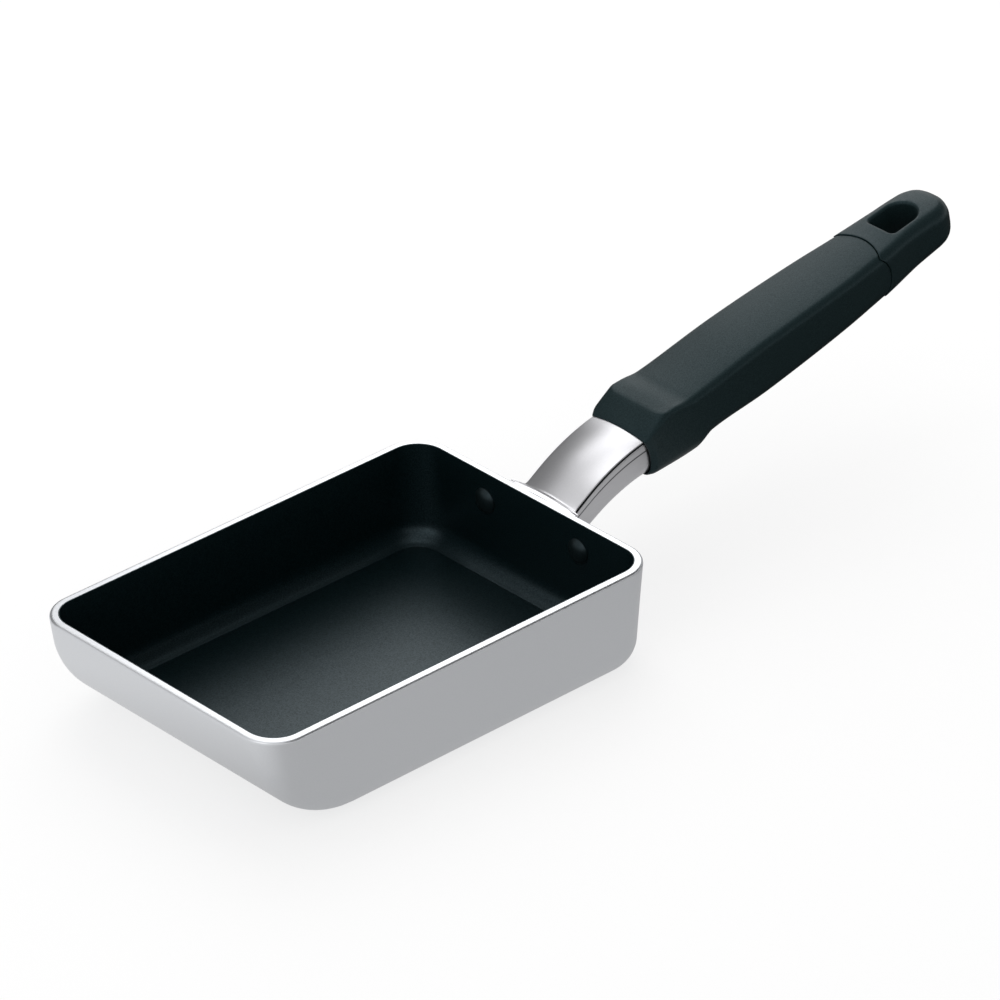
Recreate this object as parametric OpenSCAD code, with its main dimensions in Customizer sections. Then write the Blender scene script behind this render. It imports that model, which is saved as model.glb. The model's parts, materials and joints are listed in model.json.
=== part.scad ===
// Rectangular omelette pan with a riveted metal neck and a moulded handle.
// The origin is the centre of the flat base, +X runs along the handle and +Z is up.

/* [Pan] */
// Length of the mouth along the handle, inside the walls
pan_l = 179; // [150:1:220]
// Width of the mouth across the handle, inside the walls
pan_w = 120; // [100:1:180]
// Height from the resting face to the rim
pan_h = 42.2; // [38:0.2:60]
// Thickness of the cast walls and floor
wall = 3; // [2:0.1:5]
// Plan radius of the corners at the mouth, inside
mouth_corner_r = 11.4; // [8:0.2:24]
// Plan radius of the corners just above the floor, inside
floor_corner_r = 16; // [12:0.5:28]
// Radius between the floor and the two long walls and the handle wall, inside
floor_fillet_r = 8; // [5:0.5:14]
// Radius of the sweep between the floor and the front wall, inside
front_sweep_r = 36; // [20:1:42]
// Lean of the front wall from upright, in degrees
front_lean = 15; // [5:1:20]
// Broken edge around the outside of the rim
rim_break = 1; // [0.2:0.1:1.2]
// Thickness of the non-stick skin
coating_t = 0.4; // [0.2:0.1:1]

/* [Wall rivets] */
// Distance between the two rivets
rivet_spacing = 49; // [40:1:56]
// Depth of the rivets below the rim
rivet_drop = 11.5; // [10:0.5:18]
// Diameter of the rivet shank
rivet_d = 5; // [3:0.5:6]
// Diameter of the domed head inside the pan
rivet_head_d = 10; // [8:0.5:12]
// Height of the domed head
rivet_head_h = 2.4; // [1.5:0.1:3.5]
// Diameter of the formed tail behind the flange
rivet_tail_d = 8; // [7:0.5:9]
// Height of the formed tail
rivet_tail_h = 1.6; // [1:0.1:2.4]

/* [Neck] */
// Width of the neck cover
neck_w = 26; // [22:0.5:27]
// Depth of the neck below the edge of its cover
neck_depth = 15.4; // [14.2:0.1:17]
// Depth below the rim at which the cover meets the pan wall
neck_drop = 7.2; // [6:0.2:9]
// Rise of the neck where it leaves the pan, in degrees
neck_rise = 33; // [25:1:40]
// Straight length of the neck before its bend
neck_run = 23.2; // [18:0.2:30]
// Radius of the bend along the cover's edge
neck_bend_r = 30; // [24:1:45]
// Straight length between the bend and the mouth of the grip
neck_reach = 10.5; // [6:0.5:20]
// Length of the neck that is hidden in the grip
neck_insert = 14; // [12:0.5:18]
// Thickness of the neck cover
cover_t = 1.2; // [0.8:0.1:1.6]
// Height of the cover's crown at its centre line
cover_crown = 1.4; // [0.6:0.1:2]
// Thickness of the folded bracket sheet
sheet_t = 1.5; // [1:0.1:1.8]
// Height of the shadow groove under the cover's edge
groove_h = 1.5; // [1:0.1:2.2]
// Depth of the shadow groove from the cover's edge
groove_in = 2.2; // [1.5:0.1:3]
// Height of the upright band under the groove
band_h = 2.6; // [2:0.1:4]
// How far the neck's sides draw in below that band, on each side
neck_taper = 1.2; // [0.6:0.1:3]
// How far the band lies in from the cover's edge
shoulder_in = 0.4; // [0.2:0.1:0.8]
// Radius of the neck's lower corners
neck_corner_r = 2.6; // [2.1:0.1:4]
// Thickness of the flange against the pan
flange_t = 2; // [1.5:0.1:3]
// Radius of the flange round each rivet
flange_r = 7; // [6:0.5:8]
// How far the cover's foot is wider than the neck on each side
foot_flare = 4.5; // [3:0.1:5.5]
// Radius of the hollow between the cover and its foot
foot_r = 1.7; // [1:0.1:1.9]

/* [Tang and pins] */
// Width of the tang inside the grip
tang_w = 12; // [9:0.5:14]
// Height of the tang
tang_h = 7; // [6.5:0.5:8]
// Length of the tang past the end of the neck
tang_len = 34; // [24:1:50]
// Diameter of the cross pins that hold the tang in the neck
pin_d = 3; // [2:0.5:4]
// Distance between the two cross pins
pin_spacing = 6; // [5:0.5:7]

/* [Grip] */
// Rise of the handle above level, in degrees
handle_rise = 12.2; // [5:0.2:18]
// Length of the grip from its mouth to the seam
grip_len = 125; // [100:1:150]
// Full width of the grip
grip_w = 30; // [29.6:0.2:36]
// Height of the handle's axis below the edge of the neck cover
axis_drop = 7; // [6.6:0.1:7.4]
// Height of the front ridge above the axis
ridge_top = 13.2; // [12:0.2:15]
// Distance of the front ridge from the mouth
ridge_at = 9.6; // [7:0.2:14]
// Height of the grip's top above the axis, at its middle
grip_top = 11.8; // [11:0.2:14]
// Depth of the grip's underside below the axis, at its middle
grip_under = 11.8; // [10.6:0.2:14]
// Depth of the finger guard below the axis
guard_under = 13.2; // [12:0.2:16]
// Distance of the finger guard's end from the mouth
guard_at = 24; // [18:0.5:30]
// Height of the crown across the top of the handle
top_crown = 1.2; // [0.4:0.1:2]
// Radius of the grip's upper edges
upper_edge_r = 4.2; // [2.5:0.1:6]
// Radius of the grip's lower edges
lower_edge_r = 6.4; // [4:0.2:9]
// Clearance of the grip round the neck and the tang
seat_gap = 0.2; // [0.1:0.05:0.4]

/* [Handle shaping] */
// Thickness of the grip's lip under the neck
mouth_lip = 1.3; // [1:0.1:2.4]
// Thickness of the grip's lip beside the neck
mouth_side = 0.8; // [0.6:0.1:1.4]
// How far the lip's top lies below the crown of the neck cover
mouth_drop = 0.6; // [0.2:0.1:1.2]
// Length over which the sides swell from the lip to the full width
mouth_swell = 3; // [2:0.5:6]
// Radius of the upper corners from the mouth to the ridge
ridge_corner_r = 2.2; // [1.4:0.1:3]
// Radius of the lower corners at the mouth
mouth_lower_r = 4; // [2.6:0.1:5]
// Fall of the top just behind the ridge
ridge_fall = 0.6; // [0.2:0.1:1.2]
// Length of that fall
ridge_run = 6; // [3:0.5:12]
// Length over which the crown grows behind the ridge
crown_run = 15; // [8:1:30]
// Length of the hollow behind the finger guard
hollow_run = 9; // [6:0.5:16]
// How far the hollow is drawn up from the grip's underside
hollow_lift = 1.2; // [0.4:0.1:2]
// Length over which the grip narrows before the seam
narrow_run = 20; // [12:1:30]
// How much the grip has narrowed on each side at the start of that length
narrow_start = 0.8; // [0.2:0.1:1.4]
// How far the grip at the seam is wider than the cap on each side
seam_extra = 1.4; // [0.6:0.1:2.4]
// How far the underside rises from the seam to the hanging hole
cap_rise = 2; // [1:0.1:3]
// Fall of the top from the hanging hole to the tip
tip_fall = 1.4; // [0.6:0.1:3]
// Rise of the underside from the hanging hole to the tip
tip_rise = 1.6; // [0.6:0.1:3]
// Radius of the tip seen from the side
tip_side_r = 6; // [3:0.5:7]

/* [End cap] */
// Length of the end cap from the seam to the tip
cap_len = 44.4; // [40:0.2:60]
// Full width of the end cap at its hanging hole
cap_w = 23; // [21:0.2:27]
// Height of the cap's top above the axis
cap_top = 9.8; // [9:0.2:12]
// Depth of the cap's underside below the axis
cap_under = 8.4; // [8:0.2:12]
// How far the cap stands proud of the grip along the seam
cap_proud = 0.4; // [0.1:0.05:0.8]
// Width of the groove along the seam
seam_gap = 0.3; // [0.15:0.05:0.6]
// How far the grip bulges into the cap on the top
seam_bulge = 4.6; // [2:0.2:6]
// Width of the hanging hole
hang_w = 13.2; // [10:0.2:15]
// Length of the hanging hole
hang_l = 17.2; // [15:0.2:20]
// Distance of the hanging hole's flat side from the seam
hang_at = 13.6; // [11:0.2:20]
// Radius of the two corners at the hole's flat side
hang_corner_r = 2; // [1:0.1:3]
// Width of the spigot that joins the cap to the grip
spigot_w = 18; // [14:0.5:20]
// Height of the spigot
spigot_h = 12; // [9:0.5:13]
// Length of the spigot inside the grip
spigot_l = 11; // [8:0.5:16]
// Clearance round the spigot
spigot_gap = 0.2; // [0.1:0.05:0.4]

/* [Screws] */
// Thread diameter of the long handle screw
screw_d = 5; // [4:0.5:6]
// Length of the handle screw that is threaded into the tang
screw_engage = 18; // [12:1:22]
// Head diameter of the handle screw
screw_head_d = 9.4; // [9:0.2:10]
// Head height of the handle screw
screw_head_h = 3.4; // [2.4:0.2:4]
// Clearance round the handle screw in the grip
screw_gap = 0.3; // [0.1:0.05:0.5]
// Outer diameter of the two washers
washer_d = 10; // [9:0.2:10.4]
// Thickness of the flat washer
washer_t = 1; // [0.6:0.1:1.6]
// Thickness of the spring washer
spring_t = 1.2; // [0.8:0.1:1.6]
// Split in the spring washer
spring_split = 1; // [0.6:0.1:1.6]
// Width of the cross recess in the handle screw
recess_w = 1; // [0.6:0.1:1.4]
// Clearance between the screw head and the spigot
head_room = 0.8; // [0.4:0.1:2]
// Thread diameter of the cap screw
cap_screw_d = 3; // [2.5:0.1:3.5]
// Head diameter of the cap screw
cap_screw_head_d = 5.6; // [5:0.1:6.2]
// Head height of the cap screw
cap_screw_head_h = 1.8; // [1.2:0.1:2.4]
// Width of the cross recess in the cap screw
cap_recess_w = 0.8; // [0.5:0.1:1]
// Length of the cap screw inside the spigot
cap_screw_bite = 7; // [5:0.5:9]
// Thickness of grip under the head of the cap screw
cap_screw_seat = 1.6; // [1.2:0.1:2.4]

/* [Hidden] */

corner_steps = 8;
fillet_steps = 7;
sweep_steps = 6;
edge_steps = 5;
foot_steps = 6;
top_steps = 6;
round_fn = 48;
// Overrun of a cut past the face that it opens
cut = 1;

wall_x = pan_l / 2 + wall;
rivet_z = pan_h - rivet_drop;
flange_face = wall_x + flange_t;

// The neck's path along the cover's edge, as [x, z] in the handle's frame: x runs along the handle from the
// mouth of the grip and z is the height above the handle's axis
function along(a) = [cos(a), sin(a)];
function normal(a) = [-sin(a), cos(a)];
neck_lean = neck_rise - handle_rise;
bend_end = [-neck_reach, axis_drop];
bend_centre = bend_end - [0, neck_bend_r];
bend_start = bend_centre + neck_bend_r * normal(neck_lean);
neck_start = bend_start - neck_run * along(neck_lean);
// The same start in the pan's frame, on the wall's outer face, and the mouth that follows from it
neck_foot = [wall_x, pan_h - neck_drop];
mouth_axis = neck_foot - neck_start[0] * along(handle_rise) - neck_start[1] * normal(handle_rise);

module on_handle() {
    translate([mouth_axis[0], 0, mouth_axis[1]]) rotate([0, -handle_rise, 0]) children();
}

// Shared solids

// A closed skin through rings of points, all rings with the same count
module loft(rings) {
    n = len(rings[0]);
    last = len(rings) - 1;
    points = [for (ring = rings) for (p = ring) p];
    skin = [for (i = [0 : last - 1]) for (j = [0 : n - 1])
        let (a = i * n + j, b = i * n + (j + 1) % n) each [[a, a + n, b], [b, a + n, b + n]]];
    ends = [[for (j = [0 : n - 1]) j], [for (j = [n - 1 : -1 : 0]) last * n + j]];
    polyhedron(points, concat(skin, ends));
}

// Smooth curve through [place, value] pairs
function slope(t, i) = i == 0 ? (t[1][1] - t[0][1]) / (t[1][0] - t[0][0])
    : i == len(t) - 1 ? (t[i][1] - t[i - 1][1]) / (t[i][0] - t[i - 1][0])
    : (t[i + 1][1] - t[i - 1][1]) / (t[i + 1][0] - t[i - 1][0]);
function curve(t, x, i = 0) = i < len(t) - 2 && x > t[i + 1][0] ? curve(t, x, i + 1)
    : let (w = t[i + 1][0] - t[i][0], s = max(0, min(1, (x - t[i][0]) / w)))
        t[i][1] * (1 + 2 * s) * pow(1 - s, 2) + t[i + 1][1] * s * s * (3 - 2 * s)
        + w * slope(t, i) * s * pow(1 - s, 2) - w * slope(t, i + 1) * s * s * (1 - s);

// Pan form

// All of these are for a form grown outwards by t; h is the height above its floor and full is at the rim
function fillet(t) = floor_fillet_r + t;
function sweep(t) = front_sweep_r + t;
// Height at which the sweep runs into the leaning front wall
function sweep_top(t) = sweep(t) * (1 - sin(front_lean));
// How far round the floor's fillet the height h is, in degrees from the floor
function fillet_turn(h, t) = h < fillet(t) ? acos(1 - h / fillet(t)) : 90;
function ring_heights(t) = let (a = acos(1 - fillet(t) / sweep(t)), b = 90 - front_lean) concat(
    [for (i = [0 : fillet_steps]) max(base_land, fillet(t) * (1 - cos(90 * i / fillet_steps)))],
    [for (i = [1 : sweep_steps]) sweep(t) * (1 - cos(a + (b - a) * i / sweep_steps))]);
// The least height of a ring, so that the floor keeps a fine edge
base_land = 0.12;
function front_axis(t, full) = -pan_l / 2 - t / cos(front_lean) + (full - sweep_top(t)) * tan(front_lean)
    + sweep(t) * cos(front_lean);
// A quarter turn of radius r round the point [x, y]
function corner(x, y, r, from) = [for (i = [0 : corner_steps]) let (a = from + 90 * i / corner_steps)
    [x + r * cos(a), y + r * sin(a)]];
function back_corner(h, t, full) = let (f = fillet(t))
    (h < f ? floor_corner_r + t - f + f * sin(fillet_turn(h, t))
    : floor_corner_r + t + (mouth_corner_r - floor_corner_r) * (h - f) / (full - f));
function side_at(h, t) = pan_w / 2 + t - fillet(t) + fillet(t) * sin(fillet_turn(h, t));
function back_at(h, t) = pan_l / 2 + t - fillet(t) + fillet(t) * sin(fillet_turn(h, t));
// The front corners are the edge fillet carried round the sweep: u is 0 at the front and 1 at the side
function front_corner(h, t, full, u, s) = let (f = fillet(t), r = sweep(t), a = u * fillet_turn(h, t),
        reach = r - f + f * cos(a))
    [front_axis(t, full) - sqrt(max(0, reach * reach - pow(r - h, 2))),
        s * (pan_w / 2 + t - f + f * sin(a))];
function low_ring(h, t, full) = let (r = back_corner(h, t, full), x = back_at(h, t) - r,
        y = side_at(h, t) - r)
    concat(corner(x, y, r, 0),
        [for (i = [0 : corner_steps]) front_corner(h, t, full, 1 - i / corner_steps, 1)],
        [for (i = [0 : corner_steps]) front_corner(h, t, full, i / corner_steps, -1)],
        corner(x, -y, r, 270));
// Outline at the rim, drawn in by trim
function rim_ring(t, trim = 0) = let (r = mouth_corner_r + t - trim, x = pan_l / 2 + t - trim - r,
        front = -pan_l / 2 - t / cos(front_lean) + trim + r, y = pan_w / 2 + t - trim - r)
    concat(corner(x, y, r, 0), corner(front, y, r, 90), corner(front, -y, r, 180), corner(x, -y, r, 270));
function at_height(ring, z) = [for (p = ring) [p[0], p[1], z]];
// Outer form when t is the wall, and the open cavity when t is 0 or less
module pan_form(t, open) {
    base = open ? wall - t : 0;
    full = pan_h - base;
    heights = ring_heights(t);
    loft(concat(
        [for (h = heights) at_height(low_ring(h, t, full), base + (h > base_land ? h : 0))],
        open ? [at_height(rim_ring(t), pan_h), at_height(rim_ring(t), pan_h + cut)]
        : [at_height(rim_ring(t), pan_h - rim_break), at_height(rim_ring(t, rim_break), pan_h)]));
}

module rivet_places() {
    for (s = [-1, 1]) translate([0, s * rivet_spacing / 2, rivet_z]) rotate([0, 90, 0]) children();
}

module pan_body() {
    color("silver") difference() {
        pan_form(wall, false);
        pan_form(0, true);
        rivet_places() translate([0, 0, pan_l / 2 - cut])
            cylinder(d = rivet_d, h = wall + 2 * cut, $fn = round_fn);
    }
}

module nonstick_coating() {
    color("#1c2222") difference() {
        intersection() {
            pan_form(0, true);
            translate([-pan_l, -pan_w, 0]) cube([2 * pan_l, 2 * pan_w, pan_h]);
        }
        pan_form(-coating_t, true);
        rivet_places() translate([0, 0, pan_l / 2 - cut])
            cylinder(d = rivet_d, h = 2 * cut, $fn = round_fn);
    }
}

module wall_rivets() {
    head_x = pan_l / 2 - coating_t;
    dome_r = (pow(rivet_head_d / 2, 2) + pow(rivet_head_h, 2)) / (2 * rivet_head_h);
    color("#222626") rivet_places() {
        intersection() {
            translate([0, 0, head_x - rivet_head_h + dome_r]) sphere(r = dome_r, $fn = round_fn);
            translate([0, 0, head_x - rivet_head_h])
                cylinder(d = rivet_head_d, h = rivet_head_h, $fn = round_fn);
        }
        translate([0, 0, head_x]) cylinder(d = rivet_d, h = flange_face - head_x, $fn = round_fn);
        translate([0, 0, flange_face])
            cylinder(d1 = rivet_tail_d, d2 = rivet_d, h = rivet_tail_h, $fn = round_fn);
    }
}

// Neck form

// Sweeps a section of [side, height] points along the neck, from behind the wall to tail past the mouth
bend_steps = 8;
module neck_sweep(section, tail) {
    back = neck_start[0] - neck_depth;
    on_handle() loft(concat(
        [[for (p = section) let (q = neck_start + p[1] * normal(neck_lean))
            [back, p[0], q[1] + (back - q[0]) * tan(neck_lean)]]],
        [for (i = [0 : bend_steps]) let (a = neck_lean * (1 - i / bend_steps)) [for (p = section)
            let (q = bend_centre + (neck_bend_r + p[1]) * normal(a)) [q[0], p[0], q[1]]]],
        [[for (p = section) [tail, p[0], axis_drop + p[1]]]]));
}
// Height of the cover's top at a distance y from the centre line
function crown_at(y) = cover_crown * (1 - pow(2 * y / neck_w, 2));
crown_marks = 8;
function crown_line(half) = [for (i = [-crown_marks / 2 : crown_marks / 2])
    let (y = 2 * half * i / crown_marks) [y, crown_at(y)]];
function reversed(t) = [for (i = [len(t) - 1 : -1 : 0]) t[i]];
function cover_section() = concat(reversed(crown_line(neck_w / 2)),
    [[-neck_w / 2, -cover_t], [neck_w / 2, -cover_t]]);
// The bracket's sections, drawn in by t on every side: a body, and a narrower land on it for the cover
step = cover_t + groove_h;
land = neck_w / 2 - groove_in;
shoulder = neck_w / 2 - shoulder_in;
function land_section(t) = let (half = land - t, top = cover_t + t, low = step + t + sheet_t / 2)
    [[half, -top], [-half, -top], [-half, -low], [half, -low]];
function body_section(t) = let (half = shoulder - t, top = step + t, low = step + band_h,
        foot = half - neck_taper, base = neck_depth - t, r = neck_corner_r - t)
    concat([[-half, -top], [-half, -low]],
        [for (a = [180 : 30 : 270]) [-foot + r + r * cos(a), -base + r + r * sin(a)]],
        [for (a = [270 : 30 : 360]) [foot - r + r * cos(a), -base + r + r * sin(a)]],
        [[half, -low], [half, -top]]);
module bracket_form(t, tail) {
    neck_sweep(land_section(t), tail);
    neck_sweep(body_section(t), tail);
}

// Everything on the pan's side of a plane, for trimming what lies against it
module behind(x) {
    translate([x - pan_l, -pan_w / 2, 0]) cube([pan_l, pan_w, 2 * pan_h]);
}

// The cover's foot stands on the flange: its hollow is tangent to the foot and to the cover
foot_face = flange_face + cover_t;
foot_half = neck_w / 2 + foot_flare;
flare_from = foot_face + foot_flare;
foot_centre = [foot_face + foot_r,
    neck_foot[1] + (foot_face + foot_r - wall_x) * tan(neck_rise) + foot_r / cos(neck_rise)];
function cover_line(x) = neck_foot[1] + (x - wall_x) * tan(neck_rise);
// The foot's sheet lies a little inside the cover's, so that they meet inside the metal
sheet_in = 0.05;

// Outline of the flange on the wall, which also backs the cover's foot
neck_low = neck_foot[1] - neck_depth / cos(neck_rise);
module flange_outline() {
    for (s = [-1, 1]) translate([s * rivet_spacing / 2, rivet_z]) circle(r = flange_r, $fn = round_fn);
    translate([-rivet_spacing / 2, rivet_z - flange_r]) square([rivet_spacing, 2 * flange_r]);
    translate([-shoulder, neck_low - sheet_t]) square([2 * shoulder, rivet_z - neck_low]);
    translate([-foot_half, rivet_z]) square([2 * foot_half, foot_centre[1] - rivet_z]);
}

module handle_bracket() {
    color("#b9bcc0") difference() {
        union() {
            difference() {
                bracket_form(0, neck_insert);
                bracket_form(sheet_t, neck_insert + cut);
            }
            translate([wall_x, 0, 0]) rotate([90, 0, 90]) linear_extrude(flange_t) flange_outline();
        }
        behind(wall_x);
        rivet_places() translate([0, 0, wall_x - cut])
            cylinder(d = rivet_d, h = flange_t + 2 * cut, $fn = round_fn);
        on_handle() pin_places() cylinder(d = pin_d, h = neck_w, center = true, $fn = round_fn);
    }
}

// The cover with its foot turned up against the flange
module neck_cover() {
    color("#d8d8da") difference() {
        union() {
            neck_sweep(cover_section(), neck_insert - pin_d);
            intersection() {
                rotate([90, 0, 0]) linear_extrude(2 * foot_half, center = true) polygon(foot_profile());
                linear_extrude(2 * pan_h) foot_plan();
            }
        }
        behind(flange_face);
    }
}
function foot_profile() = let (under = (cover_t - sheet_in) / cos(neck_rise)) concat(
    [[flange_face, cover_line(flange_face) - under], [flare_from, cover_line(flare_from) - under],
    [flare_from, cover_line(flare_from) - sheet_in]],
    [for (i = [0 : foot_steps]) foot_centre
        + foot_r * along(-90 + neck_rise - (90 + neck_rise) * i / foot_steps)],
    [[flange_face, foot_centre[1]]]);
// The foot from above, drawn in by a hollow on each side
module foot_plan() {
    difference() {
        translate([flange_face, -foot_half]) square([flare_from - flange_face, 2 * foot_half]);
        for (s = [-1, 1]) translate([flare_from, s * foot_half]) circle(r = foot_flare, $fn = round_fn);
    }
}

// Tang, its pins and the long screw

pin_middle = neck_insert / 2;
module pin_places() {
    for (s = [-1, 1]) translate([pin_middle + s * pin_spacing / 2, 0, 0]) rotate([90, 0, 0]) children();
}
// The tang's root fills the bracket's land
tang_root_w = 2 * (land - sheet_t - seat_gap);
tang_end = neck_insert + tang_len;

module tang() {
    color("#8f9296") on_handle() difference() {
        union() {
            translate([0, -tang_root_w / 2, -tang_h / 2]) cube([neck_insert, tang_root_w, tang_h]);
            translate([neck_insert - cut, -tang_w / 2, -tang_h / 2]) cube([tang_len + cut, tang_w, tang_h]);
        }
        translate([tang_end - screw_engage, 0, 0]) rotate([0, 90, 0])
            cylinder(d = screw_d, h = screw_engage + cut, $fn = round_fn);
        pin_places() cylinder(d = pin_d, h = neck_w, center = true, $fn = round_fn);
    }
}

module tang_pins() {
    half = shoulder - neck_taper / 2;
    color("#9a9da1") on_handle() pin_places()
        cylinder(d = pin_d, h = 2 * half, center = true, $fn = round_fn);
}

// Handle form, in the handle's own frame: x from the mouth to the tip, z above the axis

seam_at = grip_len;
tip_at = grip_len + cap_len;
hang_round_r = hang_w / 2;
hang_from = seam_at + hang_at;
hang_mid = hang_from + hang_l - hang_round_r;
hollow_at = guard_at + hollow_run;
middle = grip_len / 2;
// The cap has its own width from here on
slim_at = hang_from + hang_round_r;
seam_half = cap_w / 2 + seam_extra;
mouth_top = axis_drop + cover_crown - mouth_drop;
mouth_under = neck_depth - axis_drop + mouth_lip;

top_marks = [[ridge_at, ridge_top], [ridge_at + ridge_run, ridge_top - ridge_fall],
    [guard_at, grip_top - ridge_fall], [middle, grip_top], [seam_at, cap_top], [hang_mid, cap_top],
    [tip_at, cap_top - tip_fall]];
under_marks = [[0, mouth_under], [guard_at, guard_under], [hollow_at, grip_under - hollow_lift],
    [middle, grip_under], [seam_at, cap_under + cap_rise], [hang_mid, cap_under],
    [tip_at, cap_under - tip_rise]];
side_marks = [[0, neck_w / 2 + mouth_side], [mouth_swell, grip_w / 2], [middle, grip_w / 2],
    [seam_at - narrow_run, grip_w / 2 - narrow_start], [seam_at, seam_half], [slim_at, cap_w / 2]];
upper_r_marks = [[0, ridge_corner_r], [ridge_at, ridge_corner_r], [hollow_at, upper_edge_r],
    [hang_mid, upper_edge_r]];
lower_r_marks = [[0, mouth_lower_r], [guard_at, lower_edge_r], [hang_mid, lower_edge_r]];

function top_at(x) = x < ridge_at ? mouth_top + (ridge_top - mouth_top) * x / ridge_at
    : curve(top_marks, x);
// The tip is round from above and from the side, and ends in a small flat
tip_r = cap_w / 2;
tip_flat = 0.12;
tip_flat_h = 0.6;
// Largest share of its room that an edge's radius may take
round_share = 0.98;
function tip_scale(x) = x < tip_at - tip_r ? 1 : sqrt(max(0, 1 - pow((x - tip_at + tip_r) / tip_r, 2)));
function tip_draw(x) = x < tip_at - tip_side_r ? 0
    : tip_side_r - sqrt(max(0, tip_side_r * tip_side_r - pow(x - tip_at + tip_side_r, 2)));
function half_at(x) = curve(side_marks, min(x, slim_at)) * max(tip_scale(x), tip_flat);

function handle_ring(x, proud) = let (
        half = half_at(x) + proud, d = tip_draw(x) * (1 - tip_flat_h / tip_side_r),
        top = top_at(x) + proud - d, under = curve(under_marks, x) + proud - d,
        room = min(half, (top + under) / 2) * round_share,
        ru = min(curve(upper_r_marks, x) + proud, room), rl = min(curve(lower_r_marks, x) + proud, room),
        crown = x < ridge_at ? 0 : top_crown * min(1, (x - ridge_at) / crown_run) * tip_scale(x))
    [for (p = concat(
        [for (i = [0 : edge_steps]) let (a = 90 * i / edge_steps)
            [half - ru + ru * cos(a), top - ru + ru * sin(a)]],
        [for (i = [1 : top_steps - 1]) [(half - ru) * (1 - 2 * i / top_steps), top]],
        [for (i = [0 : edge_steps]) let (a = 90 + 90 * i / edge_steps)
            [-half + ru + ru * cos(a), top - ru + ru * sin(a)]],
        [for (i = [0 : edge_steps]) let (a = 180 + 90 * i / edge_steps)
            [-half + rl + rl * cos(a), -under + rl + rl * sin(a)]],
        [for (i = [0 : edge_steps]) let (a = 270 + 90 * i / edge_steps)
            [half - rl + rl * cos(a), -under + rl + rl * sin(a)]]))
        let (lift = p[1] > 0 ? crown * (1 - pow(p[0] / half, 2)) * p[1] / top : 0) [x, p[0], p[1] + lift]];

// Places of the rings, closer together where the form turns quickly
function stations(from, to, n) = [for (i = [1 : n]) from + (to - from) * i / n];
handle_marks = concat([0], stations(0, mouth_swell, 3), stations(mouth_swell, ridge_at, 2),
    stations(ridge_at, hollow_at, 7), stations(hollow_at, seam_at, 12),
    stations(seam_at, tip_at - tip_r, 7),
    [for (a = [12 : 12 : 84]) tip_at - tip_r + tip_r * sin(a)], [tip_at]);
module handle_form(proud = 0) {
    loft([for (x = handle_marks) handle_ring(x, proud)]);
}

// The grip's side of the seam: it bulges into the cap on the top and on the sides
module grip_zone(gap) {
    from = -cut;
    arc_r = (seam_half * seam_half + seam_bulge * seam_bulge) / (2 * seam_bulge);
    tall = (cap_top + cap_under) / 2;
    side_arc_r = (tall * tall + seam_bulge * seam_bulge) / (2 * seam_bulge);
    side = 2 * grip_w;
    bulge_at = seam_at + seam_bulge;
    intersection() {
        translate([from, -side / 2, -side]) cube([bulge_at - from + gap, side, 2 * side]);
        union() {
            translate([bulge_at - arc_r, 0, -side]) cylinder(r = arc_r + gap, h = 2 * side, $fn = round_fn);
            translate([bulge_at - side_arc_r, -side / 2, cap_top - tall]) rotate([-90, 0, 0])
                cylinder(r = side_arc_r + gap, h = side, $fn = round_fn);
            translate([from, -side / 2, -side]) cube([seam_at - from + gap, side, 2 * side]);
        }
    }
}

// Places along the axis, from the tang to the spigot
seat_at = seam_at - spigot_l - head_room - screw_head_h - spring_t - washer_t;
spigot_from = seam_at - spigot_l;
cap_screw_at = seam_at - spigot_l / 2;
cap_screw_reach = cap_screw_seat + spigot_gap + cap_screw_bite;

module spigot(gap) {
    translate([spigot_from - gap, -spigot_w / 2 - gap, -spigot_h / 2 - gap])
        cube([spigot_l + seam_bulge + gap + cut, spigot_w + 2 * gap, spigot_h + 2 * gap]);
}

module cap_screw_axis() {
    translate([cap_screw_at, 0, -spigot_h / 2 - spigot_gap - cap_screw_seat]) children();
}

module grip() {
    color("#2c3335") difference() {
        on_handle() difference() {
            intersection() {
                handle_form();
                grip_zone(0);
            }
            translate([-cut, -tang_w / 2 - seat_gap, -tang_h / 2 - seat_gap])
                cube([tang_end + 2 * seat_gap + cut, tang_w + 2 * seat_gap, tang_h + 2 * seat_gap]);
            translate([tang_end - cut, 0, 0]) rotate([0, 90, 0])
                cylinder(d = screw_d + 2 * screw_gap, h = grip_len, $fn = round_fn);
            translate([seat_at, 0, 0]) rotate([0, 90, 0])
                cylinder(d = washer_d + 2 * screw_gap, h = grip_len, $fn = round_fn);
            spigot(spigot_gap);
            cap_screw_axis() {
                translate([0, 0, -cut])
                    cylinder(d = cap_screw_d + 2 * screw_gap, h = cap_screw_seat + 2 * cut, $fn = round_fn);
                translate([0, 0, -grip_w])
                    cylinder(d = cap_screw_head_d + 2 * screw_gap, h = grip_w, $fn = round_fn);
            }
        }
        neck_socket();
    }
}

// Room for the neck: its cover and bracket grown by the seat clearance
module neck_socket() {
    g = seat_gap;
    half = neck_w / 2 + g;
    on_handle() translate([-cut, 0, axis_drop]) rotate([90, 0, 90]) linear_extrude(neck_insert + g + cut) {
        polygon(concat(reversed([for (p = crown_line(half)) [p[0], p[1] + g]]),
            [[-half, -step], [half, -step]]));
        polygon(body_section(-g));
    }
}

module end_cap() {
    color("#2a3133") on_handle() difference() {
        union() {
            difference() {
                handle_form(cap_proud);
                grip_zone(seam_gap);
            }
            spigot(0);
        }
        // Hanging hole, straight towards the pan and round towards the tip
        translate([0, 0, -grip_w]) linear_extrude(2 * grip_w) hang_outline();
        cap_screw_axis() cylinder(d = cap_screw_d, h = cap_screw_reach, $fn = round_fn);
    }
}

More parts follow.
